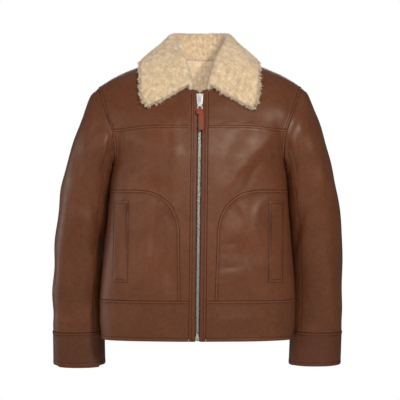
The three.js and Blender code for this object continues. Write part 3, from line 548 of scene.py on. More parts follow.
def pocket_seam(share, shift):
    """The pocket panel's curved seam, from the side seam (0) to the hem band (1), as angle and height."""
    share = np.asarray(share, float)
    flat_angle = mix(np.pi / 2, angle_of(POCKET_TOP_X, POCKET_SEAM), share / POCKET_STRAIGHT)
    turn = np.clip((share - POCKET_STRAIGHT) / (POCKET_CURVED - POCKET_STRAIGHT), 0, 1) * np.pi / 2
    sine = power(np.sin(turn), 2 / POCKET_ROUNDNESS)
    cosine = power(np.cos(turn), 2 / POCKET_ROUNDNESS)
    t = (share - POCKET_CURVED) / (1 - POCKET_CURVED)
    curved = share < POCKET_CURVED
    x = np.where(
        curved,
        POCKET_TOP_X - (POCKET_TOP_X - POCKET_SIDE_X + shift) * sine,
        mix(POCKET_SIDE_X, POCKET_HEM_X, t) - shift,
    )
    z = np.where(
        curved,
        POCKET_LOW_Z + (POCKET_SEAM - POCKET_LOW_Z + shift) * cosine,
        mix(POCKET_LOW_Z, HEM_SEAM, t),
    )
    z = np.where(share < POCKET_STRAIGHT, POCKET_SEAM + shift, z)
    return np.where(share < POCKET_STRAIGHT, flat_angle, angle_of(x, z)), z


def yoke_cut():
    inner = PLACKET + HALF_SEAM
    low = YOKE_SEAM_AT_ARMHOLE + HALF_SEAM

    def bottom(u):
        x = mix(inner, armhole(low, "front") - SEAM, u)
        z = yoke_seam(x) + HALF_SEAM
        return angle_of(x, z), z

    def left(v):
        z = mix(YOKE_SEAM + HALF_SEAM, neck_front(inner), v)
        return angle_of(inner, z), z

    def right(v):
        z = mix(low, shoulder(SHOULDER_X - SEAM), v)
        return edge_angle(z, "front", SEAM), z

    return patch(bottom, top_edge(inner, neck_front), left, right)


def front_cut():
    inner = PLACKET + HALF_SEAM
    top_z = YOKE_SEAM_AT_ARMHOLE - HALF_SEAM

    def bottom(u):
        angle, z = pocket_seam(u, HALF_SEAM)
        return angle, np.maximum(z, HEM_SEAM + HALF_SEAM)

    def top(u):
        u = np.asarray(u, float)
        x = mix(armhole(top_z, "front") - SEAM, inner, np.minimum(1, u / SEAM_CORNER))
        down = mix(YOKE_SEAM - HALF_SEAM, HEM_SEAM + HALF_SEAM, (u - SEAM_CORNER) / (1 - SEAM_CORNER))
        z = np.where(u < SEAM_CORNER, yoke_seam(x) - HALF_SEAM, down)
        return angle_of(x, z), z

    def left(v):
        z = mix(POCKET_SEAM + HALF_SEAM, top_z, v)
        return edge_angle(z, "front", SEAM), z

    def right(v):
        z = HEM_SEAM + HALF_SEAM + 0 * v
        return mix(bottom(1.0)[0], angle_of(inner, z), v), z

    return patch(bottom, top, left, right)


def pocket_cut():
    low = HEM_SEAM + HALF_SEAM

    def top(u):
        return pocket_seam(mix(SEAM_CORNER, 0, u), -HALF_SEAM)

    def left(v):
        angle, z = pocket_seam(mix(1, SEAM_CORNER, v), -HALF_SEAM)
        return angle, np.maximum(z, low)

    def bottom(u):
        return mix(left(0.0)[0], np.pi / 2, u), low + 0 * u

    def right(v):
        return np.pi / 2 + 0 * v, mix(low, POCKET_SEAM - HALF_SEAM, v)

    return patch(bottom, top, left, right)


SIDE_SHARE = 0.5  # share of the back's side edge below the armpit


def back_cut():
    low = HEM_SEAM + HALF_SEAM

    def bottom(u):
        return mix(0, np.pi / 2, u), low + 0 * u

    def left(v):
        return 0 * v, mix(low, neck_back(0.0), v)

    def right(v):
        turn = np.maximum(0, (v - SIDE_SHARE) / (1 - SIDE_SHARE)) * np.pi
        over = mix(ARMPIT, shoulder(SHOULDER_X - SEAM), (1 - np.cos(turn)) / 2)
        z = np.where(np.asarray(v) < SIDE_SHARE, mix(low, ARMPIT, v / SIDE_SHARE), over)
        return edge_angle(z, "back", SEAM), z

    half = patch(bottom, top_edge(0, neck_back), left, right)

    def place(u, v):
        across = 2 * u - 1
        angle, z = half(np.abs(across), v)
        return np.where(across < 0, -1, 1) * angle, z

    return place


def hem_cut(face):
    def place(u, v):
        z = mix(HEM, HEM_SEAM - HALF_SEAM, v)
        if face == "back":
            return mix(-np.pi / 2, np.pi / 2, u), z
        return mix(angle_of(PLACKET + HALF_SEAM, z), np.pi / 2, u), z

    return place


def placket_cut(u, v):
    x = mix(ZIP_GAP, PLACKET - HALF_SEAM, u)
    z = mix(HEM, neck_front(x), v)
    return angle_of(x, z), z


def welt_cut(u, v):
    z = mix(WELT_BOTTOM, WELT_TOP, v)
    return mix(angle_of(WELT_INNER, z), angle_of(WELT_OUTER, z), u), z


def armhole_loop(turn):
    """The armhole seam as a loop, from the shoulder point (turn 0) down the front to the armpit and back."""
    z = mix(SHOULDER_Z, ARMPIT, (1 - np.cos(turn)) / 2)
    fore, _ = on_body(armhole(z, "front"), z, "front")
    rear, _ = on_body(armhole(z, "back"), z, "back")
    sine = np.sin(turn)
    point = np.where((sine >= 0)[..., None], fore, rear)
    point[..., 1] = np.where(np.abs(sine) < 1e-6, body("mid", z), point[..., 1])
    return point


def sleeve_section(at, turn, grow):
    value = {column: sample(SLEEVE, column, at) for column in SLEEVE if column != "at"}
    middle_x, middle_z = (value["outX"] + value["inX"]) / 2, (value["outZ"] + value["inZ"]) / 2
    arm_x, arm_z = (value["outX"] - value["inX"]) / 2, (value["outZ"] - value["inZ"]) / 2
    share = 2 / SLEEVE_SQUARENESS
    across, forward = power(np.cos(turn), share), power(np.sin(turn), share)
    grown = 1 + grow / np.hypot(arm_x, arm_z)
    x = middle_x + arm_x * across * grown
    y = value["mid"] - (value["deep"] + grow) * forward
    z = middle_z + arm_z * across * grown - value["dip"] * np.sin(turn)
    return np.stack(np.broadcast_arrays(x, y, z), -1)


def sleeve_folds(rows, at, turn):
    out = 0.0
    for fold_at, long, fold_turn, wide, lean, deep in zip(*rows.values()):
        along = (at - fold_at) / long
        around = (turn + 2 * np.pi) % (2 * np.pi) - fold_turn - lean * (at - fold_at)
        out = out + deep * np.exp(-(along**2) - (around / wide) ** 2)
    return out


SECTION_LENGTH = 70.0
CALM_AT_ARMHOLE = 0.7  # how many sections it takes for the fine creases to reach their depth
CALM_AT_CUFF = 0.5


def sleeve_relief(side, at, turn):
    calm = smooth(at / CALM_AT_ARMHOLE) * smooth((CUFF_AT - at) / CALM_AT_CUFF)
    place = (at, np.cos(turn), np.sin(turn))
    swell = SLEEVE_SWELL[side](*(SECTION_LENGTH * value for value in place))
    fine = CREASING * sleeve_folds(SLEEVE_CREASES[side], at, turn) + SWELL * swell
    return sleeve_folds(SLEEVE_FOLDS[side], at, turn) + calm * fine


AT_STEP = 0.03


def on_sleeve(side, at, turn, grow=0.0, shift=0.0):
    """Places on a sleeve and their directions out of the leather. shift moves them round it, off a seam."""
    at, turn = np.broadcast_arrays(np.asarray(at, float), np.asarray(turn, float))

    def place(a, t):
        point = sleeve_section(a, t, grow + sleeve_relief(side, a, t))
        own = armhole_loop(t) - sleeve_section(0.0, t, 0.0)
        point = point + own * (1 - smooth(a / LOOP_FADE))[..., None]
        return point * (side, 1, 1)

    around = place(at, turn + TURN_STEP) - place(at, turn - TURN_STEP)
    along = place(at + AT_STEP, turn) - place(at, turn)
    away = unit(np.cross(around, along)) * side
    return place(at, turn + shift), away


# Sewing lines and the relief beside them


def distance(points, line):
    """Distance of each point from a line of straight steps."""
    flat = points.reshape(-1, 3)
    nearest = np.full(len(flat), np.inf)
    for start, end in zip(line[:-1], line[1:]):
        step = end - start
        share = np.clip((flat - start) @ step / max(step @ step, 1e-9), 0, 1)
        gap = flat - start - share[:, None] * step
        nearest = np.minimum(nearest, np.einsum("ij,ij->i", gap, gap))
    return np.sqrt(nearest).reshape(points.shape[:-1])


# Each profile gives, by distance from the seam: a raised band, grooves, the painted shade in the seam and
# stitch grooves, and the painted highlight on the leather over the seam allowance
def lapped(d):
    """The piece that lies on top at a seam, held down by a row of stitches."""
    band = 0.95 * (1 - smooth((d - 6.6) / 3.2))
    groove = 0.8 * bell(d, 0.8) + 0.6 * bell(d - STITCH_ROW, 0.9)
    return band, groove, 0.85 * bell(d, 1.0) + bell(d - STITCH_ROW, 1.1), bell(d - 0.5 * STITCH_ROW, 1.5)


def under(d):
    """The piece that goes under at a seam."""
    return 0 * d, 0.4 * bell(d, 1.2), 0.6 * bell(d, 0.8), 0 * d


def patched(d):
    """A piece that is laid on a panel and stitched down round its edge, which the stitches draw in."""
    drawn_in = 1.1 * (1 - smooth(d / STITCH_ROW))
    groove = drawn_in + 0.5 * bell(d - STITCH_ROW, 0.9)
    # painted shade in the edge groove and in the stitch groove
    painted_shading = 0.7 * bell(d, 1.0) + bell(d - STITCH_ROW, 1.1)
    return 0 * d, groove, painted_shading, 0.8 * bell(d - 0.5 * STITCH_ROW, 1.5)


def turned(d):
    """A free edge turned under, with a row of stitches."""
    band = 0.5 * (1 - smooth((d - 8.6) / 3.0))
    groove = 1.1 * bell(d, 1.3) + 0.5 * bell(d - HEM_ROW, 1.0)
    return band, groove, 0.8 * bell(d - HEM_ROW, 1.2), 0.5 * bell(d - 0.5 * HEM_ROW, 2.4)


def pressed(d):
    """A plain seam pressed open."""
    return 0.3 * bell(d - 4.5, 3.5), 0.8 * bell(d, 1.2), 0.7 * bell(d, 1.1), 0.2 * bell(d - 3.5, 2.0)


def faint(d):
    """A plain seam on a soft sleeve, that hardly shows."""
    return 0.15 * bell(d - 4.5, 3.5), 0.45 * bell(d, 1.0), 0.35 * bell(d, 0.9), 0 * d


def folded_edge(d):
    """A free folded edge with no stitches."""
    return 0 * d, 0.9 * bell(d, 1.3), 0 * d, 0 * d


PUCKER_HEIGHT = 0.22
PUCKER_WIDE = 6.0
DEEPEST_GROOVE = 1.6
PLAIN = 0.35  # the painted seam shading where there is no sewing: less is a painted highlight and more is painted shade


def relief(points, seams):
    """Height of the sewing relief at some places, and the painted shade and highlight that the seams get
    there.
    """
    band, groove, painted_shading, painted_paleness, nearest = 0.0, 0.0, 0.0, 0.0, np.full(points.shape[:-1], np.inf)
    for line, profile in seams:
        d = distance(points, line)
        raised, sunk, shade, light = profile(d)
        band = np.maximum(band, raised)
        groove = groove + sunk
        painted_shading = np.maximum(painted_shading, shade)
        painted_paleness = np.maximum(painted_paleness, light)
        nearest = np.minimum(nearest, d)
    pucker = PUCKER_HEIGHT * PUCKER(*np.moveaxis(points, -1, 0)) * bell(nearest - STITCH_ROW, PUCKER_WIDE)
    # the seams' painted shade in their grooves, lessened where a raised band gets a painted highlight
    painted_seam_shading = PLAIN + (1 - PLAIN) * painted_shading - PLAIN * painted_paleness
    return band - np.minimum(groove, DEEPEST_GROOVE) + pucker, np.clip(painted_seam_shading, 0, 1)


NARROW_ROWS = 11
WALKED_ROWS = 260
WALKED_CLOSER = 2.4  # how much closer these rows come together towards the end of a cut


def spaced(length, cell=CELL):
    """Shares of a length: fine steps at both ends, and cells between them."""
    middle = length - 2 * EDGE_STEPS[-1]
    if middle <= cell:
        return np.linspace(0, 1, NARROW_ROWS)
    count = max(2, round(middle / cell))
    inside = EDGE_STEPS[-1] + middle * np.arange(1, count) / count
    return np.concatenate([EDGE_STEPS, inside, length - EDGE_STEPS[::-1]]) / length


def evenly(cut, place, u, v):
    """Coordinates on a cut at shares v of the true length of each of its columns."""
    dense = 1 - (1 - np.linspace(0, 1, WALKED_ROWS)) ** WALKED_CLOSER
    points, _ = place(*cut(u[None, :], dense[:, None]))
    steps = np.linalg.norm(np.diff(points, axis=0), axis=-1)
    walked = np.vstack([np.zeros(len(u)), np.cumsum(steps, axis=0)])
    shares = [np.interp(v * column[-1], column, dense) for column in walked.T]
    return cut(u[None, :], np.array(shares).T)


# Meshes


def linked(name, data):
    """An object of a mesh, light or camera, in the scene."""
    made = bpy.data.objects.new(name, data)
    bpy.context.scene.collection.objects.link(made)
    return made


def as_piece(mesh, looks, node=None, body="jacket"):
    """A smooth piece that rides a body, and stands for a CAD node if one is given."""
    for look in looks:
        mesh.materials.append(look)
    mesh.polygons.foreach_set("use_smooth", np.ones(len(mesh.polygons), bool))
    made = linked(mesh.name, mesh)
    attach(made, body)
    if node:
        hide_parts(node)
    return made


def new_mesh(name, points, faces, marks=None, indices=None):
    """A mesh from points in millimetres. marks are point attributes, indices the faces' materials."""
    mesh = bpy.data.meshes.new(name)
    mesh.from_pydata((np.asarray(points, float) * MM).tolist(), [], faces)
    if indices is not None:
        mesh.polygons.foreach_set("material_index", np.asarray(indices, np.int32))
    for key, values in (marks or {}).items():
        attribute = mesh.attributes.new(key, "FLOAT", "POINT")
        attribute.data.foreach_set("value", np.asarray(values, np.float32).ravel())
    return mesh


class Joined:
    """Many small things, joined into one mesh."""

    def __init__(self, name):
        self.name, self.points, self.faces, self.count = name, [], [], 0

    def add(self, points, faces):
        """Adds a thing, its faces given by the numbers of its own points."""
        self.faces += [tuple(k + self.count for k in face) for face in faces]
        self.points.append(points)
        self.count += len(points)

    def build(self, look, slot, node=None):
        return as_piece(new_mesh(self.name, np.concatenate(self.points), self.faces), (look,), node)


def quads(high, wide, ring=False):
    """Corners of the cells of a grid of points, row by row."""
    i, j = np.meshgrid(np.arange(high - 1), np.arange(wide if ring else wide - 1), indexing="ij")
    a = i * wide + j
    b = i * wide + (j + 1) % wide
    return np.stack([a, b, b + wide, a + wide], -1).reshape(-1, 4)


def shell_faces(high, wide, ring=False):
    """Faces of a closed wall between two grids, and which of them are on its inner side."""
    size = high * wide
    outer = quads(high, wide, ring)
    inner = outer[:, ::-1] + size
    row = np.arange(wide if ring else wide - 1)
    after = (row + 1) % wide
    top = (high - 1) * wide
    rims = [
        np.stack([after, row, row + size, after + size], -1),
        np.stack([row + top, after + top, after + top + size, row + top + size], -1),
    ]
    if not ring:
        column = np.arange(high - 1) * wide
        last = column + wide - 1
        rims.append(np.stack([column, column + wide, column + wide + size, column + size], -1))
        rims.append(np.stack([last + wide, last, last + size, last + wide + size], -1))
    faces = np.concatenate([outer, *rims, inner])
    return faces, np.arange(len(faces)) >= len(faces) - len(inner)


def facing_out(points, faces):
    """The faces as lists, turned round together if they enclose a negative volume."""
    a, b, c, d = (points[faces[:, k]] for k in range(4))
    volume = np.einsum("ij,ij->", a, np.cross(b, c)) + np.einsum("ij,ij->", a, np.cross(c, d))
    return (faces if volume > 0 else faces[:, ::-1]).tolist()


def in_front(points):
    points[..., 1] = np.minimum(points[..., 1], body("mid", points[..., 2]) - HALF_SEAM)
    return points


def behind(points):
    points[..., 1] = np.maximum(points[..., 1], body("mid", points[..., 2]) + HALF_SEAM)
    return points


def walked_along(line):
    """How far each point of a line is from its start."""
    return np.concatenate([[0], np.cumsum(np.linalg.norm(np.diff(line, axis=0), axis=-1))])


def along_line(where, walked, values):
    """Values given for the points of a line, at distances from its start."""
    return np.stack([np.interp(where, walked, values[:, k]) for k in range(3)], -1)


# A stitch has two points and between them rings of 4 corners: shares of its length and of its thickness
STITCH_RINGS = ((-0.5, 0.0), (-0.36, 0.8), (0.0, 1.0), (0.36, 0.8), (0.5, 0.0))
STITCH_LIFT = 0.08


def stitch_faces():
    made = []
    for k in range(4):
        n = (k + 1) % 4
        made.append((0, 1 + n, 1 + k))
        made += [(ring + k, ring + n, ring + 4 + n, ring + 4 + k) for ring in (1, 5)]
        made.append((9 + k, 9 + n, 13))
    return made


def stitch_row(holder, points, away):
    """A row of stitches along a line of places, lying on the leather."""
    walked = walked_along(points)
    centres = np.arange(0.7 * STITCH_PITCH, walked[-1] - 0.4 * STITCH_PITCH, STITCH_PITCH)
    up = unit(along_line(centres, walked, away))
    middle = along_line(centres, walked, points) + up * STITCH_LIFT
    ends = [along_line(centres + way * 0.4 * STITCH_LONG, walked, points) for way in (-1, 1)]
    along = unit(ends[1] - ends[0])
    across = np.cross(up, along)
    corners = []
    for share, size in STITCH_RINGS:
        centre = middle + along * share * STITCH_LONG - up * 0.5 * STITCH_HALF * (1 - size)
        if size == 0:
            corners.append(centre)
            continue
        for k in range(4):
            turn = k * math.pi / 2
            sideways = across * math.cos(turn) * STITCH_HALF * size
            corners.append(centre + sideways + up * math.sin(turn) * 0.8 * STITCH_HALF * size)
    faces = stitch_faces()
    for stitch in np.stack(corners, 1):
        holder.add(stitch, faces)


# Materials


def add_node(tree, kind, inputs=None, **settings):
    made = tree.nodes.new(kind)
    for key, value in settings.items():
        setattr(made, key, value)
    for key, value in (inputs or {}).items():
        if isinstance(value, bpy.types.NodeSocket):
            tree.links.new(value, made.inputs[key])
        else:
            made.inputs[key].default_value = value
    return made


def new_material(name, **constants):
    """A material with its shader's constant values, its node tree, shader and place coordinates."""
    made = bpy.data.materials.new(name)
    made.use_nodes = True
    tree = made.node_tree
    shader = tree.nodes["Principled BSDF"]
    for socket, value in constants.items():
        shader.inputs[socket.replace("_", " ")].default_value = value
    place = add_node(tree, "ShaderNodeTexCoord").outputs["Object"]
    return made, tree, shader, place


def connect(tree, shader, **outputs):
    for socket, output in outputs.items():
        tree.links.new(output, shader.inputs[socket.replace("_", " ")])


def noise(tree, place, scale, detail=4.0, roughness=0.55):
    inputs = {"Vector": place, "Scale": scale, "Detail": detail, "Roughness": roughness}
    return add_node(tree, "ShaderNodeTexNoise", inputs).outputs["Fac"]


def ramp(tree, factor, *stops):
    """A colour by a factor, from pairs of place and colour."""
    made = add_node(tree, "ShaderNodeValToRGB", {"Fac": factor})
    elements = made.color_ramp.elements
    while len(elements) < len(stops):
        elements.new(0.5)
    for element, (at, colour) in zip(elements, stops):
        element.position = at
        element.color = (*colour, 1)
    return made.outputs["Color"]


def between(tree, factor, low, high):
    """A number by a factor that goes from 0 to 1."""
    inputs = {"Value": factor, "From Min": 0.3, "From Max": 0.7, "To Min": low, "To Max": high}
    return add_node(tree, "ShaderNodeMapRange", inputs).outputs["Result"]


def blend_colours(tree, factor, a, b, kind="MIX"):
    made = add_node(tree, "ShaderNodeMixRGB", {"Fac": factor, "Color1": a, "Color2": b}, blend_type=kind)
    return made.outputs["Color"]


def bump(tree, height, strength, deep, under_normal=None):
    inputs = {"Height": height, "Strength": strength, "Distance": deep}
    if under_normal is not None:
        inputs["Normal"] = under_normal
    return add_node(tree, "ShaderNodeBump", inputs).outputs["Normal"]


def shaded(colour, factor):
    return tuple(channel * factor for channel in colour)


LEATHER_TONE = (0.139, 0.0435, 0.0188)


def leather(name, tone, rough=0.44, grain=1.0):
    """Smooth cowhide: soft mottling, a fine pebbled grain, and painted shade in the seam and stitch grooves
    with a painted highlight on the raised bands beside them.
    """
    made, tree, shader, place = new_material(name, Specular_IOR_Level=0.33)
    shader.inputs["Specular Tint"].default_value = (1.0, 0.85, 0.7, 1.0)
    soft = noise(tree, place, 11.0, 5.0)
    fine = noise(tree, place, 130.0, 4.0)
    colour = ramp(tree, soft, (0.32, shaded(tone, 0.9)), (0.55, tone), (0.75, shaded(tone, 1.13)))
    speckle = ramp(tree, fine, (0.35, (0.88, 0.87, 0.86)), (0.65, (1.08, 1.08, 1.08)))
    colour = blend_colours(tree, 1.0, colour, speckle, "MULTIPLY")
    # painted shade in the seam and stitch grooves and a painted highlight on the raised bands beside them
    line = add_node(tree, "ShaderNodeAttribute", attribute_name="line").outputs["Fac"]
    seam = ramp(tree, line, (0.0, (1.22, 1.2, 1.17)), (PLAIN, (1, 1, 1)), (1.0, (0.42, 0.31, 0.28)))
    colour = blend_colours(tree, 1.0, colour, seam, "MULTIPLY")
    matt = between(tree, noise(tree, place, 45.0), rough - 0.05, rough + 0.07)
    inputs = {"Vector": place, "Scale": 640.0}
    pebbles = add_node(tree, "ShaderNodeTexVoronoi", inputs, feature="DISTANCE_TO_EDGE").outputs["Distance"]
    normal = bump(tree, noise(tree, place, 95.0, 6.0, 0.6), 0.16 * grain, 0.0009)
    normal = bump(tree, pebbles, 0.3 * grain, 0.00035, normal)
    connect(tree, shader, Base_Color=colour, Roughness=matt, Normal=normal)
    return made


def suede(name, tone):
    """The flesh side of the leather."""
    made, tree, shader, place = new_material(name, Specular_IOR_Level=0.15, Roughness=0.95, Sheen_Weight=0.25)
    nap = noise(tree, place, 60.0, 6.0, 0.7)
    colour = ramp(tree, nap, (0.3, shaded(tone, 0.8)), (0.7, shaded(tone, 1.15)))
    normal = bump(tree, noise(tree, place, 900.0, 6.0, 0.7), 0.4, 0.0006)
    connect(tree, shader, Base_Color=colour, Normal=normal)
    return made


WOOL_TONE = (0.8, 0.607, 0.38)


def wool(name, tone):
    """Cream shearling, with painted shade where its locks meet the hide and between its lumps, and a painted
    highlight on their tops, tips and free edges.
    """
    made, tree, shader, place = new_material(name, Specular_IOR_Level=0.1, Roughness=0.95, Sheen_Weight=0.5)
    shader.inputs["Sheen Roughness"].default_value = 0.6
    broad = noise(tree, place, 28.0, 3.0)
    locks = noise(tree, place, 210.0, 5.0, 0.65)
    colour = ramp(tree, broad, (0.3, shaded(tone, 0.92)), (0.5, tone), (0.72, shaded(tone, 1.06)))
    flecks = ramp(tree, locks, (0.3, (0.84, 0.8, 0.75)), (0.52, (1.0, 1.0, 1.0)), (0.75, (1.12, 1.15, 1.2)))
    colour = blend_colours(tree, 1.0, colour, flecks, "MULTIPLY")
    # painted shade low in the wool and a cool painted highlight at its tips and free edges
    tip = add_node(tree, "ShaderNodeAttribute", attribute_name="tip").outputs["Fac"]
    shade = ramp(tree, tip, (0.0, (0.72, 0.67, 0.61)), (0.75, (1.0, 1.0, 1.0)), (1.0, (1.14, 1.18, 1.26)))
    colour = blend_colours(tree, 1.0, colour, shade, "MULTIPLY")
    normal = bump(tree, noise(tree, place, 1100.0, 5.0, 0.7), 0.5, 0.0009)
    connect(tree, shader, Base_Color=colour, Normal=normal)
    return made


def woven(name, tone, scale):
    """Woven zip tape or thread."""
    made, tree, shader, place = new_material(name, Specular_IOR_Level=0.25, Roughness=0.8, Sheen_Weight=0.1)
    inputs = {"Vector": place, "Scale": scale, "Distortion": 1.5}
    rows = add_node(tree, "ShaderNodeTexWave", inputs, bands_direction="Z").outputs["Fac"]
    colour = ramp(tree, rows, (0.2, shaded(tone, 0.7)), (0.8, shaded(tone, 1.2)))
    connect(tree, shader, Base_Color=colour, Normal=bump(tree, rows, 0.5, 0.0002))
    return made


def metal(name, tone, rough):
    """Polished nickel with fine handling marks."""
    made, tree, shader, place = new_material(name, Metallic=1.0)
    marks = noise(tree, place, 420.0, 6.0, 0.65)
    colour = ramp(tree, noise(tree, place, 130.0), (0.3, shaded(tone, 0.88)), (0.7, shaded(tone, 1.05)))
    matt = between(tree, marks, rough - 0.06, rough + 0.12)
    connect(tree, shader, Base_Color=colour, Roughness=matt, Normal=bump(tree, marks, 0.08, 0.0002))
    return made


# The yoke, sleeves, placket, hem bands and cuffs take darker copies of the front's leather: painted shade,
# deepest on the cuffs.
FRONT_LEATHER = leather("leather_front", LEATHER_TONE)
YOKE_LEATHER = leather("leather_yoke", shaded(LEATHER_TONE, 0.92))
SLEEVE_LEATHER = leather("leather_sleeve", shaded(LEATHER_TONE, 0.92))
BAND_LEATHER = leather("leather_band", shaded(LEATHER_TONE, 0.93), rough=0.5)
CUFF_LEATHER = leather("leather_cuff", shaded(LEATHER_TONE, 0.71), rough=0.5)
SUEDE = suede("leather_inside", (0.16, 0.062, 0.034))
WOOL = wool("shearling_wool", WOOL_TONE)
# The lining's wool is a brighter copy of the collar's: painted light for the inside of the neck.
INNER_WOOL_PAINTED_LIGHT = wool("shearling_inner_wool", (0.93, 0.725, 0.475))
THREAD = woven("thread", (0.075, 0.024, 0.013), 900.0)
TAPE = woven("zip_tape_cloth", (0.075, 0.04, 0.026), 700.0)
NICKEL = metal("nickel", (0.9, 0.87, 0.83), 0.4)
TEETH_METAL = metal("zip_teeth_metal", (0.5, 0.47, 0.42), 0.4)
TAN = leather("leather_tan", (0.205, 0.042, 0.019), rough=0.48, grain=0.8)

stitches = {name: Joined(f"stitches_{name}") for name, _ in SIDES}


# Leather pieces


def body_surface(face, out=0.0):
    def place(angle, z):
        points, away = angled(angle, z, face, out)
        return hang(points), away

    return place


def sleeve_surface(side, grow=0.0):
    def place(turn, at, shift=0.0):
        points, away = on_sleeve(side, at, turn, grow, shift)
        return hang(points), away

    return place


def line(place, path, side=1, count=56):
    """Points of a seam, from its path of shares."""
    share = np.linspace(0, 1, count)
    a, b = path(share)
    return place(side * a, b)[0]


def yoke_path(share, shift=0.0):
    x = mix(PLACKET, armhole(YOKE_SEAM_AT_ARMHOLE, "front"), share)
    z = yoke_seam(x) - shift
    return angle_of(x, z), z


def placket_path(share, shift=0.0):
    x = PLACKET - shift
    z = mix(HEM, neck_front(x), share)
    return angle_of(x, z), z


def zip_edge_path(share):
    return placket_path(share, PLACKET - ZIP_GAP)


def hem_path(share, z=HEM_SEAM):
    return mix(angle_of(PLACKET, z), np.pi / 2, share), z + 0 * share


def hem_back_path(share, z=HEM_SEAM):
    return mix(-np.pi / 2, np.pi / 2, share), z + 0 * share


def armhole_path(face, low=ARMPIT, high=SHOULDER_Z, shift=0.0):
    def path(share):
        z = mix(low, high, share)
        return edge_angle(z, face, shift), z

    return path


def side_path(share):
    return np.pi / 2 + 0 * share, mix(HEM, ARMPIT, share)


def shoulder_path(share):
    x = mix(NECK_HALF, SHOULDER_X, share)
    return angle_of(x, shoulder(x)), shoulder(x)


def neck_path(neck):
    def path(share):
        x = NECK_HALF * np.sin(share * np.pi / 2)
        return angle_of(x, neck(x)), neck(x)

    return path


def welt_path(inset):
    """The welt's outline, drawn in by a distance."""
    near, far = WELT_INNER + inset, WELT_OUTER - inset
    low, high = WELT_BOTTOM + inset, WELT_TOP - inset
    corners = np.array([(near, low), (near, high), (far, high), (far, low), (near, low)])

    def path(share):
        where = np.asarray(share) * (len(corners) - 1)
        x = np.interp(where, np.arange(len(corners)), corners[:, 0])
        z = np.interp(where, np.arange(len(corners)), corners[:, 1])
        return angle_of(x, z), z

    return path


SEWN_PLACES = 420


def sew(place, path, seams, holder, side=1):
    """A row of stitches along a path on a piece, in the groove that its relief has there."""
    share = np.linspace(0, 1, SEWN_PLACES)
    a, b = path(share)
    points, away = place(side * a, b)
    height, _ = relief(points, seams)
    stitch_row(holder, points + away * height[:, None], away)


INNER_CLEAR = 0.1


def leather_piece(
    node, place, cut, size, seams, look, side=1, thick=LEATHER, keep=None, ring=False, cell=CELL, **sheet
):
    """A wall of leather that stands for a CAD node, with the sewing relief on its outer side only."""
    across, up = size
    u = np.linspace(0, 1, round(across / cell) + 1) if ring else spaced(across, cell)
    a, b = evenly(cut, lambda p, q: place(side * p, q), u, spaced(up, cell))
    base, away = place(side * a, b)
    if ring:
        base, away = base[:, :-1], away[:, :-1]
    height, painted_shading = relief(base, seams)
    outer = base + away * height[..., None]
    inner = base - away * (thick - INNER_CLEAR)
    if keep:
        inner = keep(inner)
    points = np.concatenate([outer.reshape(-1, 3), inner.reshape(-1, 3)])
    faces, inside = shell_faces(*base.shape[:2], ring)
    # the outer side carries the seams' painted shade and highlight, the inner side none
    marks = {"line": np.concatenate([painted_shading.ravel(), np.full(painted_shading.size, PLAIN)])}
    mesh = new_mesh(f"leather_{node}", points, facing_out(points, faces), marks, inside)
    as_piece(mesh, (look, SUEDE), node)


def seams_of(side):
    """The body's seam lines on one side, by name."""
    front, back = body_surface("front"), body_surface("back")
    return {
        "yoke": line(front, yoke_path, side),
        "placket": line(front, placket_path, side),
        "zip_edge": line(front, zip_edge_path, side),
        "pocket": line(front, lambda s: pocket_seam(s, 0.0), side),
        "hem": line(front, hem_path, side),
        "hem_edge": line(front, lambda s: hem_path(s, HEM), side),
        "armhole": line(front, armhole_path("front"), side),
        "back_armhole": line(back, armhole_path("back"), side),
        "side": line(front, side_path, side),
        "shoulder": line(front, shoulder_path, side),
        "back_shoulder": line(back, shoulder_path, side),
        "neck": line(front, neck_path(neck_front), side),
    }


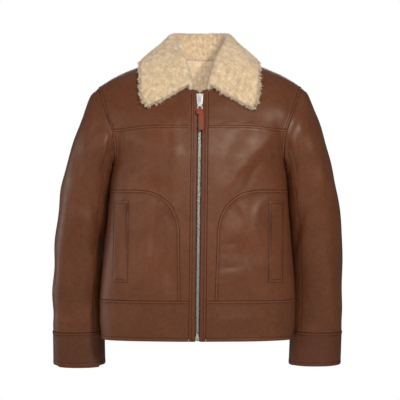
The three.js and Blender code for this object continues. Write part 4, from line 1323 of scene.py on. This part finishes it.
def front_pieces(name, side, lines):
    """Yoke, front, pocket panel, welt, placket and hem band of one side."""
    front = body_surface("front")
    holder = stitches[name]
    row = STITCH_ROW
    common = {"side": side, "keep": in_front}
    yoke, upper, panel = f"yoke_{name}", f"front_{name}", f"pocket_panel_{name}"

    seams = [
        (lines["yoke"], under),
        (lines["placket"], under),
        (lines["armhole"], lapped),
        (lines["shoulder"], pressed),
        (lines["neck"], folded_edge),
    ]
    leather_piece(yoke, front, yoke_cut(), (235, 110), seams, YOKE_LEATHER, **common)
    sew(front, armhole_path("front", YOKE_SEAM_AT_ARMHOLE + 1, SHOULDER_Z - 2, row), seams, holder, side)

    seams = [
        (lines["yoke"], lapped),
        (lines["placket"], under),
        (lines["pocket"], under),
        (lines["armhole"], lapped),
        (lines["side"], pressed),
        (lines["hem"], under),
    ]
    leather_piece(upper, front, front_cut(), (430, 200), seams, FRONT_LEATHER, rests_on=[yoke], **common)
    sew(front, lambda s: yoke_path(s, row), seams, holder, side)
    sew(front, armhole_path("front", ARMPIT + 9, YOKE_SEAM_AT_ARMHOLE - row, row), seams, holder, side)

    seams = [(lines["pocket"], lapped), (lines["side"], pressed), (lines["hem"], under)]
    leather_piece(panel, front, pocket_cut(), (200, 250), seams, FRONT_LEATHER, rests_on=[upper], **common)
    sew(front, lambda s: pocket_seam(s * 0.99, -row), seams, holder, side)

    proud = body_surface("front", WELT_THICK + SEAM)
    seams = [(line(proud, welt_path(0.0), side, 65), patched)]
    held = {"held": "laid", "rests_on": [panel]}
    welt = {"side": side, "thick": WELT_THICK, "cell": 3.0}
    leather_piece(f"pocket_welt_{name}", proud, welt_cut, (29.5, 176), seams, FRONT_LEATHER, **welt, **held)
    sew(proud, welt_path(row), seams, holder, side)

    seams = [(lines["placket"], lapped), (lines["zip_edge"], folded_edge), (lines["hem_edge"], turned)]
    strip = {"side": side, "thick": BAND, "rests_on": [yoke, upper]}
    leather_piece(f"placket_{name}", front, placket_cut, (14, 575), seams, BAND_LEATHER, **strip)
    sew(front, lambda s: placket_path(mix(0.02, 0.995, s), row), seams, holder, side)

    seams = [
        (lines["hem"], lapped),
        (lines["hem_edge"], turned),
        (lines["placket"], under),
        (lines["side"], pressed),
    ]
    band = {"thick": BAND, "rests_on": [upper, panel], **common}
    leather_piece(f"hem_band_front_{name}", front, hem_cut("front"), (225, 91), seams, BAND_LEATHER, **band)
    sew(front, lambda s: hem_path(s, HEM_SEAM - row), seams, holder, side)
    sew(front, lambda s: hem_path(s, HEM + HEM_ROW), seams, holder, side)


def back_pieces(lines):
    """The back and the back of the hem band, with a row of stitches beside each armhole."""
    back = body_surface("back")
    hem = line(back, hem_back_path)
    hem_edge = line(back, lambda s: hem_back_path(s, HEM))
    sides = [lines[side]["side"] for side in (-1, 1)]
    neck = [line(back, neck_path(neck_back), side) for side in (-1, 1)]
    seams = [(hem, under)]
    seams += [(place, pressed) for place in sides]
    seams += [(place, folded_edge) for place in neck]
    seams += [(lines[side]["back_armhole"], lapped) for side in (-1, 1)]
    seams += [(lines[side]["back_shoulder"], pressed) for side in (-1, 1)]
    leather_piece("back", back, back_cut(), (580, 600), seams, FRONT_LEATHER, keep=behind, cell=5.6)
    for name, side in SIDES:
        path = armhole_path("back", ARMPIT + 9, SHOULDER_Z - 2, STITCH_ROW)
        sew(back, path, seams, stitches[name], side)

    seams = [(hem, lapped), (hem_edge, turned)] + [(place, pressed) for place in sides]
    band = {"thick": BAND, "keep": behind, "rests_on": ["back"]}
    leather_piece("hem_band_back", back, hem_cut("back"), (600, 91), seams, BAND_LEATHER, **band)
    sew(back, lambda s: hem_back_path(s, HEM_SEAM - STITCH_ROW), seams, stitches["right"])
    sew(back, lambda s: hem_back_path(s, HEM + HEM_ROW), seams, stitches["left"])


def ring_line(place, at, count=72):
    turn = np.linspace(0, 2 * np.pi, count)
    return place(turn, at + 0 * turn)[0]


def sleeve_pieces(name, side):
    """Top and under sleeve, and the cuff."""
    place = sleeve_surface(side)
    along = np.linspace(CUFF_AT, ARMHOLE_GAP, 70)
    top_ring = ring_line(place, 0.0)
    cuff_ring = ring_line(place, CUFF_AT)
    long_seams = [place(k * COLUMN + 0 * along, along)[0] for k in (SLEEVE_FRONT_SEAM, SLEEVE_BACK_SEAM)]
    seams = [(top_ring, under), (cuff_ring, under)] + [(seam, faint) for seam in long_seams]
    spans = {
        "top": (SLEEVE_BACK_SEAM - COLUMNS_ROUND, SLEEVE_FRONT_SEAM, 330),
        "under": (SLEEVE_FRONT_SEAM, SLEEVE_BACK_SEAM, 150),
    }
    for part, (first, last, across) in spans.items():

        def cut(u, v, first=first, last=last):
            at = mix(CUFF_AT - CUFF_LAP, ARMHOLE_GAP, v)
            turn = mix(first * COLUMN + SEAM_TURN, last * COLUMN - SEAM_TURN, u)
            return turn, at

        node, rests_on = f"sleeve_{part}_{name}", [f"yoke_{name}", "back"]
        leather_piece(node, place, cut, (across, 620), seams, SLEEVE_LEATHER, cell=5.4, rests_on=rests_on)

    grown = sleeve_surface(side, BAND - LEATHER)
    ring, edge = ring_line(grown, CUFF_AT), ring_line(grown, CUFF_END)
    seams = [(ring, lapped), (edge, turned)]

    def cuff_cut(u, v):
        return u * 2 * np.pi, mix(CUFF_END, CUFF_AT + CUFF_LAP, v)

    rests_on = [f"sleeve_top_{name}", f"sleeve_under_{name}"]
    cuff = {"thick": BAND, "ring": True, "cell": 4.0, "rests_on": rests_on}
    leather_piece(f"cuff_{name}", grown, cuff_cut, (270, CUFF_LENGTH), seams, CUFF_LEATHER, **cuff)
    for at in (CUFF_AT + STITCH_ROW / CUFF_LENGTH, CUFF_END - HEM_ROW / CUFF_LENGTH):
        sew(grown, lambda s, at=at: (s * 2 * np.pi, at + 0 * s), seams, stitches[name])


ALLOWANCE_STEPS = 8
ALLOWANCE_PLACES = 90


def allowance(holder, place, path, side=1, thick=LEATHER, half=4.5, deep=0.8):
    """A seam allowance: a flat roll along a seam, on the inner side of its wall."""
    a, b = path(np.linspace(0, 1, ALLOWANCE_PLACES))
    points, away = place(side * a, b)
    across = unit(np.cross(away, unit(np.gradient(points, axis=0))))
    turn = np.arange(ALLOWANCE_STEPS) * 2 * np.pi / ALLOWANCE_STEPS
    sideways = across[:, None] * (half * np.cos(turn))[None, :, None]
    inward = away[:, None] * (deep * np.sin(turn))[None, :, None]
    rings = (points - away * (thick + 0.5 * deep))[:, None] + sideways + inward
    first = np.arange(ALLOWANCE_STEPS)
    last = first + (ALLOWANCE_PLACES - 1) * ALLOWANCE_STEPS
    faces = quads(ALLOWANCE_PLACES, ALLOWANCE_STEPS, ring=True).tolist()
    holder.add(rings.reshape(-1, 3), faces + [first[::-1].tolist(), last.tolist()])


def inner_half(path):
    """The part of a path that stays a little clear of its ends."""
    return lambda share: path(mix(0.01, 0.99, share))


def allowances(name, side):
    """The seam allowances of the body and sleeve of one side."""
    front, back, sleeve = body_surface("front"), body_surface("back"), sleeve_surface(side)
    made = Joined(f"seam_allowances_{name}")
    seams = [
        (front, yoke_path),
        (front, placket_path),
        (front, lambda s: pocket_seam(s, 0.0)),
        (front, hem_path),
        (back, lambda s: (s * np.pi / 2, HEM_SEAM + 0 * s)),
        (front, shoulder_path),
    ]
    for place, path in seams:
        allowance(made, place, inner_half(path), side)
    allowance(made, front, inner_half(side_path), side, half=3.5, deep=1.6)
    for place, face in ((front, "front"), (back, "back")):
        allowance(made, place, armhole_path(face), side, half=3.2, deep=2.2)
    allowance(made, sleeve, lambda s: (s * 2 * np.pi, CUFF_AT + 0 * s), thick=BAND)
    for k in (SLEEVE_FRONT_SEAM, SLEEVE_BACK_SEAM):
        allowance(made, sleeve, lambda s, k=k: (k * COLUMN + 0 * s, mix(CUFF_AT, 0.2, s)))
    made.build(SUEDE, "leather")


lines = {side: seams_of(side) for _, side in SIDES}
for name, side in SIDES:
    front_pieces(name, side, lines[side])
    sleeve_pieces(name, side)
    allowances(name, side)
back_pieces(lines)


# Collar


def on_neck(turn):
    """Places on the neck seam, round from the middle of the back, with the face that they are on."""
    x = NECK_HALF * np.sin(np.radians(turn))
    rear = turn < 90
    z = np.where(rear, neck_back(x), neck_front(x))
    return x, z, rear


def on_face(x, z, rear, out=0.0):
    return np.where(rear[..., None], on_body(x, z, "back", out)[0], on_body(x, z, "front", out)[0])


def neck_up(turn):
    """Direction up out of the neck's cut edge."""
    nudge = 0.5
    x, z, rear = on_neck(turn)
    before, after = (on_face(*on_neck(turn + way * nudge)) for way in (-1, 1))
    along = unit(after - before)
    down = on_face(x + 0.3 * turn / 90, z - 3, rear) - on_face(x, z, rear)
    out = unit(np.cross(along, down))
    up = unit(np.cross(out, along))
    return np.where(up[..., 2:] < 0, -up, up)


def collar_line(turn, stations):
    """The collar's hide side at some turns: up the stand to station 1, over the fold to 2, down the fall."""
    x, z, rear = on_neck(turn)
    seam = on_face(x, z, rear) + neck_up(turn) * COLLAR_SEAM
    fold = np.stack([sample(COLLAR, column, turn) for column in ("foldX", "foldY", "foldZ")], -1)
    edge_x, reach = sample(COLLAR, "edgeX", turn), sample(COLLAR, "reach", turn)
    edge = on_face(edge_x, shoulder(edge_x) - reach**2, reach < 0, COLLAR_LIFT)
    out = edge - fold
    out[..., 2] = 0
    out = unit(out)
    up = np.array([0.0, 0.0, 1.0])

    def around(share):
        angle = share * FOLD_END * np.pi
        return fold - out * np.cos(angle) * FOLD_RADIUS + up * np.sin(angle) * FOLD_RADIUS

    rows = []
    for station in stations:
        if station < 1:
            rows.append(mix(seam, around(0.0), station))
        elif station < 2:
            rows.append(around(station - 1))
        else:
            share = station - 2
            middle = math.sin(share * math.pi)
            rise = up * (BULGE_UP - sample(COLLAR, "droop", turn))[:, None]
            rows.append(mix(around(1.0), edge, share) + middle * (rise + out * BULGE_OUT))
    return np.stack(rows, 1)


def softened(points, times, axis=1):
    """Points of a grid, evened out along an axis with its ends held."""
    made = np.moveaxis(points.copy(), axis, 0)
    for _ in range(times):
        made[1:-1] = (made[:-2] + 2 * made[1:-1] + made[2:]) / 4
    return np.moveaxis(made, 0, axis)


def normals_of(points):
    return unit(np.cross(np.gradient(points, axis=0), np.gradient(points, axis=1)))


COLLAR_END = COLLAR["turn"][-1]
COLLAR_TURNS = 150
STATION_COUNTS = (22, 12, 48)  # up the stand, over the fold and down the fall
COLLAR_STATIONS = np.unique([at for k, n in enumerate(STATION_COUNTS) for at in np.linspace(k, k + 1, n)])
WOOL_LUMPS = Ripple(11, 11, 24, waves=22)
WOOL_CURLS = Ripple(12, 5, 9, waves=26)
LEFT_NARROWER = 0.03  # the fall on the wearer's left hangs closer than the other, most at a turn
LEFT_NARROWER_AT = 85
LEFT_NARROWER_WIDE = 45
LEFT_TIP_LOWER = 5.0
LEFT_TIP_FROM = 125
LEFT_TIP_OVER = 40
LUMP_HEIGHT = 0.5
CURL_HEIGHT = 0.45
WOOL_AT_SEAM = 0.5  # share of the wool's thickness left at a joined edge
WOOL_THINS = 16  # width over which it gets thinner towards that edge
WOOL_ROUND = 6.0  # width over which the wool rounds off at a free edge
WOOL_TOP = 2.0  # the part of its thickness that is left to lumps and locks
TIPS_STAND = 0.8
WOOL_EVENED = 6  # times the wool's height is evened out across the collar
HIDE_EVENED = 3
HIDE_EVENED_ROUND = 30


def collar_hide():
    turn = np.linspace(0, COLLAR_END, COLLAR_TURNS + 1)
    half = collar_line(turn, COLLAR_STATIONS)
    other = half[:0:-1] * (-1, 1, 1)
    fall = smooth(COLLAR_STATIONS - 1)
    closer = bell(turn - LEFT_NARROWER_AT, LEFT_NARROWER_WIDE)[:, None]
    lower = smooth((turn - LEFT_TIP_FROM) / LEFT_TIP_OVER)[:, None]
    half[..., 0] *= 1 - LEFT_NARROWER * closer * fall
    half[..., 2] -= LEFT_TIP_LOWER * lower * smooth(COLLAR_STATIONS - 2)
    across = softened(hang(np.concatenate([other, half])), HIDE_EVENED)
    return softened(across, HIDE_EVENED_ROUND, axis=0)


def walked_from_edges(points, joined_edge):
    """Distances of a grid's places, along its lines, from the nearest free edge and from the joined one.

    The joined edge is an axis and an end of it, 0 or 1.
    """
    found = np.full(points.shape[:2], np.inf)
    for axis in (0, 1):
        steps = np.linalg.norm(np.diff(points, axis=axis), axis=-1)
        start = np.zeros_like(np.take(steps, [0], axis=axis))
        walked = np.cumsum(np.concatenate([start, steps], axis=axis), axis=axis)
        total = np.take(walked, [-1], axis=axis)
        for end, gone in enumerate((walked, total - walked)):
            if (axis, end) == joined_edge:
                joined = gone
            else:
                found = np.minimum(found, gone)
    return found, joined


def wool_surface(hide, away, thick, joined_edge):
    """The wool's outer side over a hide: rounded at the free edges and lumpy with locks, with painted shade
    between the lumps and a painted highlight on their tops and at the free edges.
    """
    inward, joined = walked_from_edges(hide, joined_edge)
    share = np.clip(inward / WOOL_ROUND, 0, 1)
    full = np.sqrt(1 - (1 - share) ** 2) * mix(WOOL_AT_SEAM, 1, smooth(joined / WOOL_THINS))
    places = np.moveaxis(hide, -1, 0)
    lumps = LUMP_HEIGHT * WOOL_LUMPS(*places) + CURL_HEIGHT * WOOL_CURLS(*places)
    grown = softened(hide + away * (thick - WOOL_TOP) * full[..., None], WOOL_EVENED)
    # painted light: brighter on the lumps' tops and at the free edges, darker between the lumps
    painted_light_share = 0.55 + 0.35 * lumps + 0.5 * (1 - share)
    return grown + away * (TIPS_STAND + lumps * smooth(inward / WOOL_ROUND))[..., None], np.clip(painted_light_share, 0, 1)


def shearling(name, node, hide, away, thick, looks, joined_edge):
    """Wool on its hide, as one closed shell."""
    outer, tips = wool_surface(hide, away, thick, joined_edge)
    points = np.concatenate([outer.reshape(-1, 3), hide.reshape(-1, 3)])
    faces, inside = shell_faces(*hide.shape[:2])
    # the tip attribute carries the wool's painted light; the seams' painted shading is left out
    marks = {"tip": np.concatenate([tips.ravel(), tips.ravel()]), "line": np.full(2 * tips.size, PLAIN)}
    mesh = new_mesh(name, points, facing_out(points, faces), marks, inside)
    return as_piece(mesh, looks, node), outer


LOCK_LONG = 3.4
LINING_LOCK_LONG = 3.2
LOCK_HALF = 0.42
TUFT_LOCK_HALF = 0.8
LOCK_SUNK = 0.9
LOCK_RINGS = ((0.0, 1.0), (0.62, 0.75))  # shares of a lock's length, with shares of its thickness
LOCK_SIDES = 3
LOCKS_A_TUFT = 11
TUFT_BACK = 6.0


def lock_centre(place, normal, lean, side, tall, bend, curl, share):
    """Middle line of a lock: it rises, leans over and curls."""
    rise = tall * (share - 0.18 * bend * share**2)
    over = tall * bend * 0.55 * share**1.6
    round_by = tall * curl * 0.35 * math.sin(share * 2.6)
    sunk = place - normal * LOCK_SUNK
    return sunk + normal * rise[:, None] + lean * over[:, None] + side * round_by[:, None]


def grow(name, roots, long, half, look, draw, parts=1, painted_paleness=0.25):
    """Short tapering locks of wool in a few joined meshes. Roots are places, directions and leans."""
    place, normal, lean = roots
    count = len(place)
    side = np.cross(normal, lean)
    tall = long * draw.uniform(0.65, 1.25, count)
    thick = half * draw.uniform(0.7, 1.3, count)
    bend = draw.uniform(0.35, 1.0, count)
    curl = draw.uniform(-0.5, 0.5, count)
    corners, tips = [], []
    for share, size in LOCK_RINGS:
        centre = lock_centre(place, normal, lean, side, tall, bend, curl, share)
        for k in range(LOCK_SIDES):
            angle = k * 2 * np.pi / LOCK_SIDES + share * 1.5
            spoke = lean * math.cos(angle) + side * math.sin(angle)
            corners.append(centre + spoke * (thick * size)[:, None])
            tips.append(np.full(count, share))
    corners.append(lock_centre(place, normal, lean, side, tall, bend, curl, 1.0))
    tips.append(np.ones(count))
    points, tips = np.stack(corners, 1), np.stack(tips, 1)
    last = len(corners) - 1
    walls, ends = [], []
    for k in range(LOCK_SIDES):
        n = (k + 1) % LOCK_SIDES
        for ring in range(0, last - LOCK_SIDES, LOCK_SIDES):
            walls.append((ring + k, ring + n, ring + LOCK_SIDES + n, ring + LOCK_SIDES + k))
        ends.append((last - LOCK_SIDES + k, last - LOCK_SIDES + n, last))
    made = []
    for part in range(parts):
        mine = slice(part * count // parts, (part + 1) * count // parts)
        start = (np.arange(len(points[mine])) * len(corners))[:, None, None]
        faces = (np.array(walls)[None] + start).reshape(-1, 4).tolist()
        faces += (np.array(ends)[None] + start).reshape(-1, LOCK_SIDES).tolist()
        title = f"{name}_{part + 1}" if parts > 1 else name
        # painted shade at each lock's root, fading out towards its tip
        mesh = new_mesh(title, points[mine].reshape(-1, 3), faces, {"tip": mix(painted_paleness, 1, tips[mine])})
        made.append(as_piece(mesh, (look,)))
    return made


def flattened(way, normal):
    """Directions laid into the surface that some normals stand on."""
    return unit(way - np.einsum("ij,ij->i", way, normal)[:, None] * normal)


def roots_on(surface, outward, count, draw):
    """Places all over a surface, their directions out of it, and a lean towards the surface's lumps."""
    across, up = np.diff(surface, axis=1)[:-1], np.diff(surface, axis=0)[:, :-1]
    areas = np.linalg.norm(np.cross(across, up), axis=-1)
    chosen = draw.choice(areas.size, count, p=(areas / areas.sum()).ravel())
    i, j = np.unravel_index(chosen, areas.shape)
    s, t = draw.uniform(size=(2, count))
    place = surface[i, j] + up[i, j] * s[:, None] + across[i, j] * t[:, None]
    normal = outward[i, j]
    step = 1.2
    slope = np.zeros_like(place)
    for k in range(3):
        nudge = np.zeros(3)
        nudge[k] = step
        for field, weight in ((WOOL_LUMPS, 0.5), (WOOL_CURLS, 1.0)):
            ahead = field(*(place + nudge).T)
            slope[:, k] += weight * (ahead - field(*(place - nudge).T)) / (2 * step)
    lean = flattened(flattened(slope, normal) + draw.normal(scale=0.5, size=(count, 3)), normal)
    return place, normal, lean


def tufts(name, edge, outward, away, look, draw, long=6.0, apart=5.2, reach=0.9):
    """Pointed tufts along an edge of the wool: clusters of locks whose tips come together outside it."""
    walked = walked_along(edge)
    count = round(walked[-1] / apart)
    middle = (np.arange(count) + draw.uniform(0.1, 0.9, count)) * walked[-1] / count
    out_by = long * draw.uniform(0.35, 1.2, count)

    def at(where, values):
        return along_line(where, walked, values)

    up_by = SHEARLING * draw.uniform(0.3, 0.9, count)
    side = draw.normal(scale=0.3 * apart, size=count)
    tip = at(middle + side, edge) + at(middle, outward) * out_by[:, None] + at(middle, away) * up_by[:, None]
    owner = np.repeat(np.arange(count), LOCKS_A_TUFT)
    where = np.clip(middle[owner] + draw.normal(scale=0.42 * apart, size=len(owner)), 0, walked[-1])
    height = draw.uniform(0.25 * reach, reach, len(owner)) * SHEARLING
    back = TUFT_BACK * (height / SHEARLING) ** 2
    place = at(where, edge) + at(where, away) * height[:, None] - at(where, outward) * back[:, None]
    way = tip[owner] - place
    tall = np.linalg.norm(way, axis=-1) / 0.9
    normal = unit(way + draw.normal(scale=0.12, size=way.shape) * tall[:, None])
    lean = flattened(draw.normal(size=way.shape), normal)
    # the tufts' locks get only a little painted shade at their roots
    return grow(name, (place, normal, lean), tall, TUFT_LOCK_HALF, look, draw, painted_paleness=0.9)


COLLAR_LOCKS = 30000
NECK_INSIDE = np.array([0.0, 0.0, 20.0])
STAND_EDGE = (1, 0)
STAND_END_LEAN = np.array([0.0, -0.8, -0.4])


def collar_piece():
    """The collar with its locks, and tufts along its edges."""
    hide = collar_hide()
    away = normals_of(hide)
    if np.dot(away[COLLAR_TURNS, 3], NECK_INSIDE - hide[COLLAR_TURNS, 3]) < 0:
        away = -away
    looks = (WOOL, SUEDE)
    collar, wool_side = shearling("shearling_collar", "collar", hide, away, SHEARLING, looks, STAND_EDGE)
    wool_away = normals_of(wool_side)
    wool_away = wool_away * np.sign(np.einsum("ijk,ijk->", wool_away, away))
    draw = np.random.default_rng(SEED * 1000 + 21)
    roots = roots_on(wool_side, wool_away, COLLAR_LOCKS, draw)
    locks = grow("collar_locks", roots, LOCK_LONG, LOCK_HALF, WOOL, draw, parts=3)

    edge_out = unit(hide[:, -1] - hide[:, -5])
    locks += tufts("collar_edge_tufts", hide[:, -1], edge_out, away[:, -1], WOOL, draw)
    over_fold = slice(np.searchsorted(COLLAR_STATIONS, 1.3), None)
    up_stand = slice(np.searchsorted(COLLAR_STATIONS, 0.3), np.searchsorted(COLLAR_STATIONS, 1.6))
    for (name, _), end, inner in zip(SIDES, (0, -1), (4, -5)):
        edge = hide[end, over_fold]
        edge_out = unit(edge - hide[inner, over_fold])
        title = f"collar_front_tufts_{name}"
        locks += tufts(title, edge, edge_out, away[end, over_fold], WOOL, draw, long=7.5, apart=5.4)
        edge = hide[end, up_stand]
        edge_out = unit(unit(edge - hide[inner, up_stand]) + STAND_END_LEAN)
        title, shape = f"stand_end_tufts_{name}", {"long": 3.6, "apart": 2.2, "reach": 0.25}
        locks += tufts(title, edge, edge_out, -away[end, up_stand], WOOL, draw, **shape)
    shape = {"long": 5.0, "apart": 3.4, "reach": 0.6}
    stand_out = unit(hide[:, 0] - hide[:, 5])
    locks += tufts("collar_stand_tufts", hide[:, 0], stand_out, away[:, 0], WOOL, draw, **shape)


LINING_LOCKS = 3000
LINING_TOP = (0, 1)


def lining_piece():
    """The shearling inside the back of the neck, with its locks."""
    u, v = np.linspace(0, 1, 60)[None, :], np.linspace(0, 1, 44)[:, None]
    x = mix(-LINING_HALF, LINING_HALF, u)
    z = mix(LINING_BOTTOM, neck_back(x) + LINING_UP, v)
    gap = mix(LINING_GAP, LINING_GAP_AT_NECK, smooth(2 * v - 1))
    points, out = on_body(x, z, "back", -LEATHER - gap + 0 * z)
    hide, away = hang(points), -out
    name, looks = "shearling_neck_lining", (INNER_WOOL_PAINTED_LIGHT, SUEDE)
    lining, wool_side = shearling(name, "neck_lining", hide, away, LINING_THICK, looks, LINING_TOP)
    draw = np.random.default_rng(SEED * 1000 + 22)
    roots = roots_on(wool_side, away, LINING_LOCKS, draw)
    locks = grow("neck_lining_locks", roots, LINING_LOCK_LONG, LOCK_HALF, INNER_WOOL_PAINTED_LIGHT, draw)


collar_piece()
lining_piece()


# Zip

TOOTH = (3.7, 2.3, 1.55)
TOOTH_ROUND = 0.38
CHAIN_BOTTOM = HEM + 12.6
CHAIN_SUNK = 2.0
TOOTH_ASIDE = 1.35
TOOTH_PITCH = 2.9


def bevelled_box(size, width, segments=2):
    """Points and faces of a box with rounded edges, round its middle."""
    made = bmesh.new()
    bmesh.ops.create_cube(made, size=1.0)
    bmesh.ops.scale(made, vec=size, verts=made.verts)
    bmesh.ops.bevel(made, geom=made.edges[:], offset=width, segments=segments, affect="EDGES", profile=0.6)
    points = np.array([v.co for v in made.verts])
    faces = [tuple(v.index for v in f.verts) for f in made.faces]
    made.free()
    return points, faces


def zip_chain():
    """Interlocked metal teeth down the middle of the front, joined into one mesh."""
    tooth, cell = bevelled_box(TOOTH, TOOTH_ROUND)
    tooth[:, 0] += TOOTH_ASIDE
    chain = Joined("zip_teeth_chain")
    for k, z in enumerate(np.arange(CHAIN_BOTTOM, CHAIN_TOP, TOOTH_PITCH / 2)):
        place, out = on_body(0.0, z, "front", -CHAIN_SUNK)
        up = np.array([0.0, out[2], -out[1]])
        way = 1 if k % 2 else -1
        turned_tooth = hang(place) + tooth[:, :1] * (way, 0, 0) - tooth[:, 1:2] * out + tooth[:, 2:] * up
        chain.add(turned_tooth, [face[::way] for face in cell])
    chain.build(TEETH_METAL, "zip_metal", "zip_teeth")


def zip_tape(name, side):
    """Woven tape behind the placket, with a corded edge under the teeth."""
    u, v = np.linspace(0, 1, 9)[None, :], np.linspace(0, 1, 190)[:, None]
    x = mix(TEETH - 1.6, PLACKET - 3, u) + 0 * v
    z = mix(HEM + 1, neck_front(0.0) - 2, v) + 0 * u
    place, out = on_body(side * x, z, "front", -BAND - SEAM - TAPE_ROOM)
    cord = 0.5 * bell(x - TEETH, 1.2)
    outer = hang(place + out * cord[..., None])
    inner = hang(place - out * TAPE_THICK)
    points = np.concatenate([outer.reshape(-1, 3), inner.reshape(-1, 3)])
    faces, _ = shell_faces(*outer.shape[:2])
    mesh = new_mesh(f"zip_tape_cloth_{name}", points, facing_out(points, faces))
    made = as_piece(mesh, (TAPE,), f"zip_tape_{name}")


def refined(node, name, look, body, width):
    """A CAD node's own shape with its sharp edges rounded."""
    made = bmesh.new()
    made.from_mesh(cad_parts[node].data)
    bmesh.ops.remove_doubles(made, verts=made.verts, dist=0.02 * MM)
    bmesh.ops.dissolve_limit(made, angle_limit=math.radians(2), verts=made.verts, edges=made.edges)
    sharp = [e for e in made.edges if len(e.link_faces) == 2 and e.calc_face_angle() > math.radians(24)]
    bmesh.ops.bevel(
        made, geom=sharp, offset=width * MM, segments=3, affect="EDGES", profile=0.6, clamp_overlap=True
    )
    bmesh.ops.recalc_face_normals(made, faces=made.faces)
    mesh = bpy.data.meshes.new(name)
    made.to_mesh(mesh)
    made.free()
    mesh.polygons.foreach_set("material_index", np.zeros(len(mesh.polygons), np.int32))
    as_piece(mesh, (look,), node, body)


zip_chain()
for name, side in SIDES:
    zip_tape(name, side)
refined("zip_slider", "slider", NICKEL, "jacket", 0.35)
refined("zip_box", "zip_end_box", TEETH_METAL, "jacket", 0.4)
refined("zip_pull", "pull_plate", NICKEL, "pull", 0.25)
refined("pull_tab", "tan_pull_tab", TAN, "pull", 0.4)

for holder in stitches.values():
    holder.build(THREAD, "leather")


# Floor, light and camera

FLOOR_Z = -1.5
FLOOR_HALF = 5.5
LENS = 156.5
CAMERA_PLACE = (-0.0007, -4.0, -0.329)
JACKET_MIDDLE = (0, 0, -0.33)


def floor():
    low, high = -FLOOR_HALF, FLOOR_HALF
    corners = [(low, low), (high, low), (high, high), (low, high)]
    mesh = bpy.data.meshes.new("floor")
    mesh.from_pydata([(x, y, FLOOR_Z) for x, y in corners], [], [(0, 1, 2, 3)])
    made, tree, shader, place = new_material("floor_paint", Roughness=0.9)
    colour = ramp(tree, noise(tree, place, 3.0), (0.3, (0.78, 0.78, 0.77)), (0.7, (0.82, 0.82, 0.81)))
    connect(tree, shader, Base_Color=colour)
    mesh.materials.append(made)
    linked("floor", mesh)


def studio(strength):
    """White surroundings for the camera, and dimmer ones as light."""
    world = bpy.data.worlds.new("studio")
    bpy.context.scene.world = world
    world.use_nodes = True
    tree = world.node_tree
    tree.nodes.clear()
    seen = add_node(tree, "ShaderNodeBackground", {"Color": (1, 1, 1, 1), "Strength": 1.0})
    lit = add_node(tree, "ShaderNodeBackground", {"Color": (1, 1, 1, 1), "Strength": strength})
    ray = add_node(tree, "ShaderNodeLightPath")
    both = add_node(tree, "ShaderNodeMixShader", {0: ray.outputs["Is Camera Ray"]})
    tree.links.new(lit.outputs[0], both.inputs[1])
    tree.links.new(seen.outputs[0], both.inputs[2])
    out = add_node(tree, "ShaderNodeOutputWorld")
    tree.links.new(both.outputs[0], out.inputs[0])


def soft_light(name, place, size, power_watts, target=JACKET_MIDDLE):
    """A square soft box that looks at a place, the middle of the jacket unless another is given."""
    data = bpy.data.lights.new(name, "AREA")
    data.shape = "SQUARE"
    data.size = size
    data.energy = power_watts
    made = linked(name, data)
    made.location = place
    made.visible_camera = False
    made.rotation_euler = (Vector(target) - made.location).to_track_quat("-Z", "Y").to_euler()


def camera():
    data = bpy.data.cameras.new("camera")
    data.lens = LENS
    data.sensor_width = 36.0
    made = linked("camera", data)
    made.location = CAMERA_PLACE
    made.rotation_euler = (math.radians(90), 0, 0)
    bpy.context.scene.camera = made


floor()
studio(0.14)
soft_light("front", (0.1, -1.75, 0.3), 0.8, 10)
soft_light("neck", (0.0, -0.05, -0.085), 0.04, 0.07, target=(0, 0.07, -0.055))
soft_light("key", (1.3, -2.65, 0.95), 0.36, 47)
soft_light("rim", (-2.3, 0.5, -0.3), 1.2, 12)
soft_light("fill", (-2.5, -2.3, 0.3), 1.4, 21)
soft_light("top", (0.0, 0.6, 2.6), 2.0, 9)
soft_light("rear", (0.0, 3.4, 1.0), 2.2, 45)
camera()
bpy.context.scene.view_settings.view_transform = "Standard"
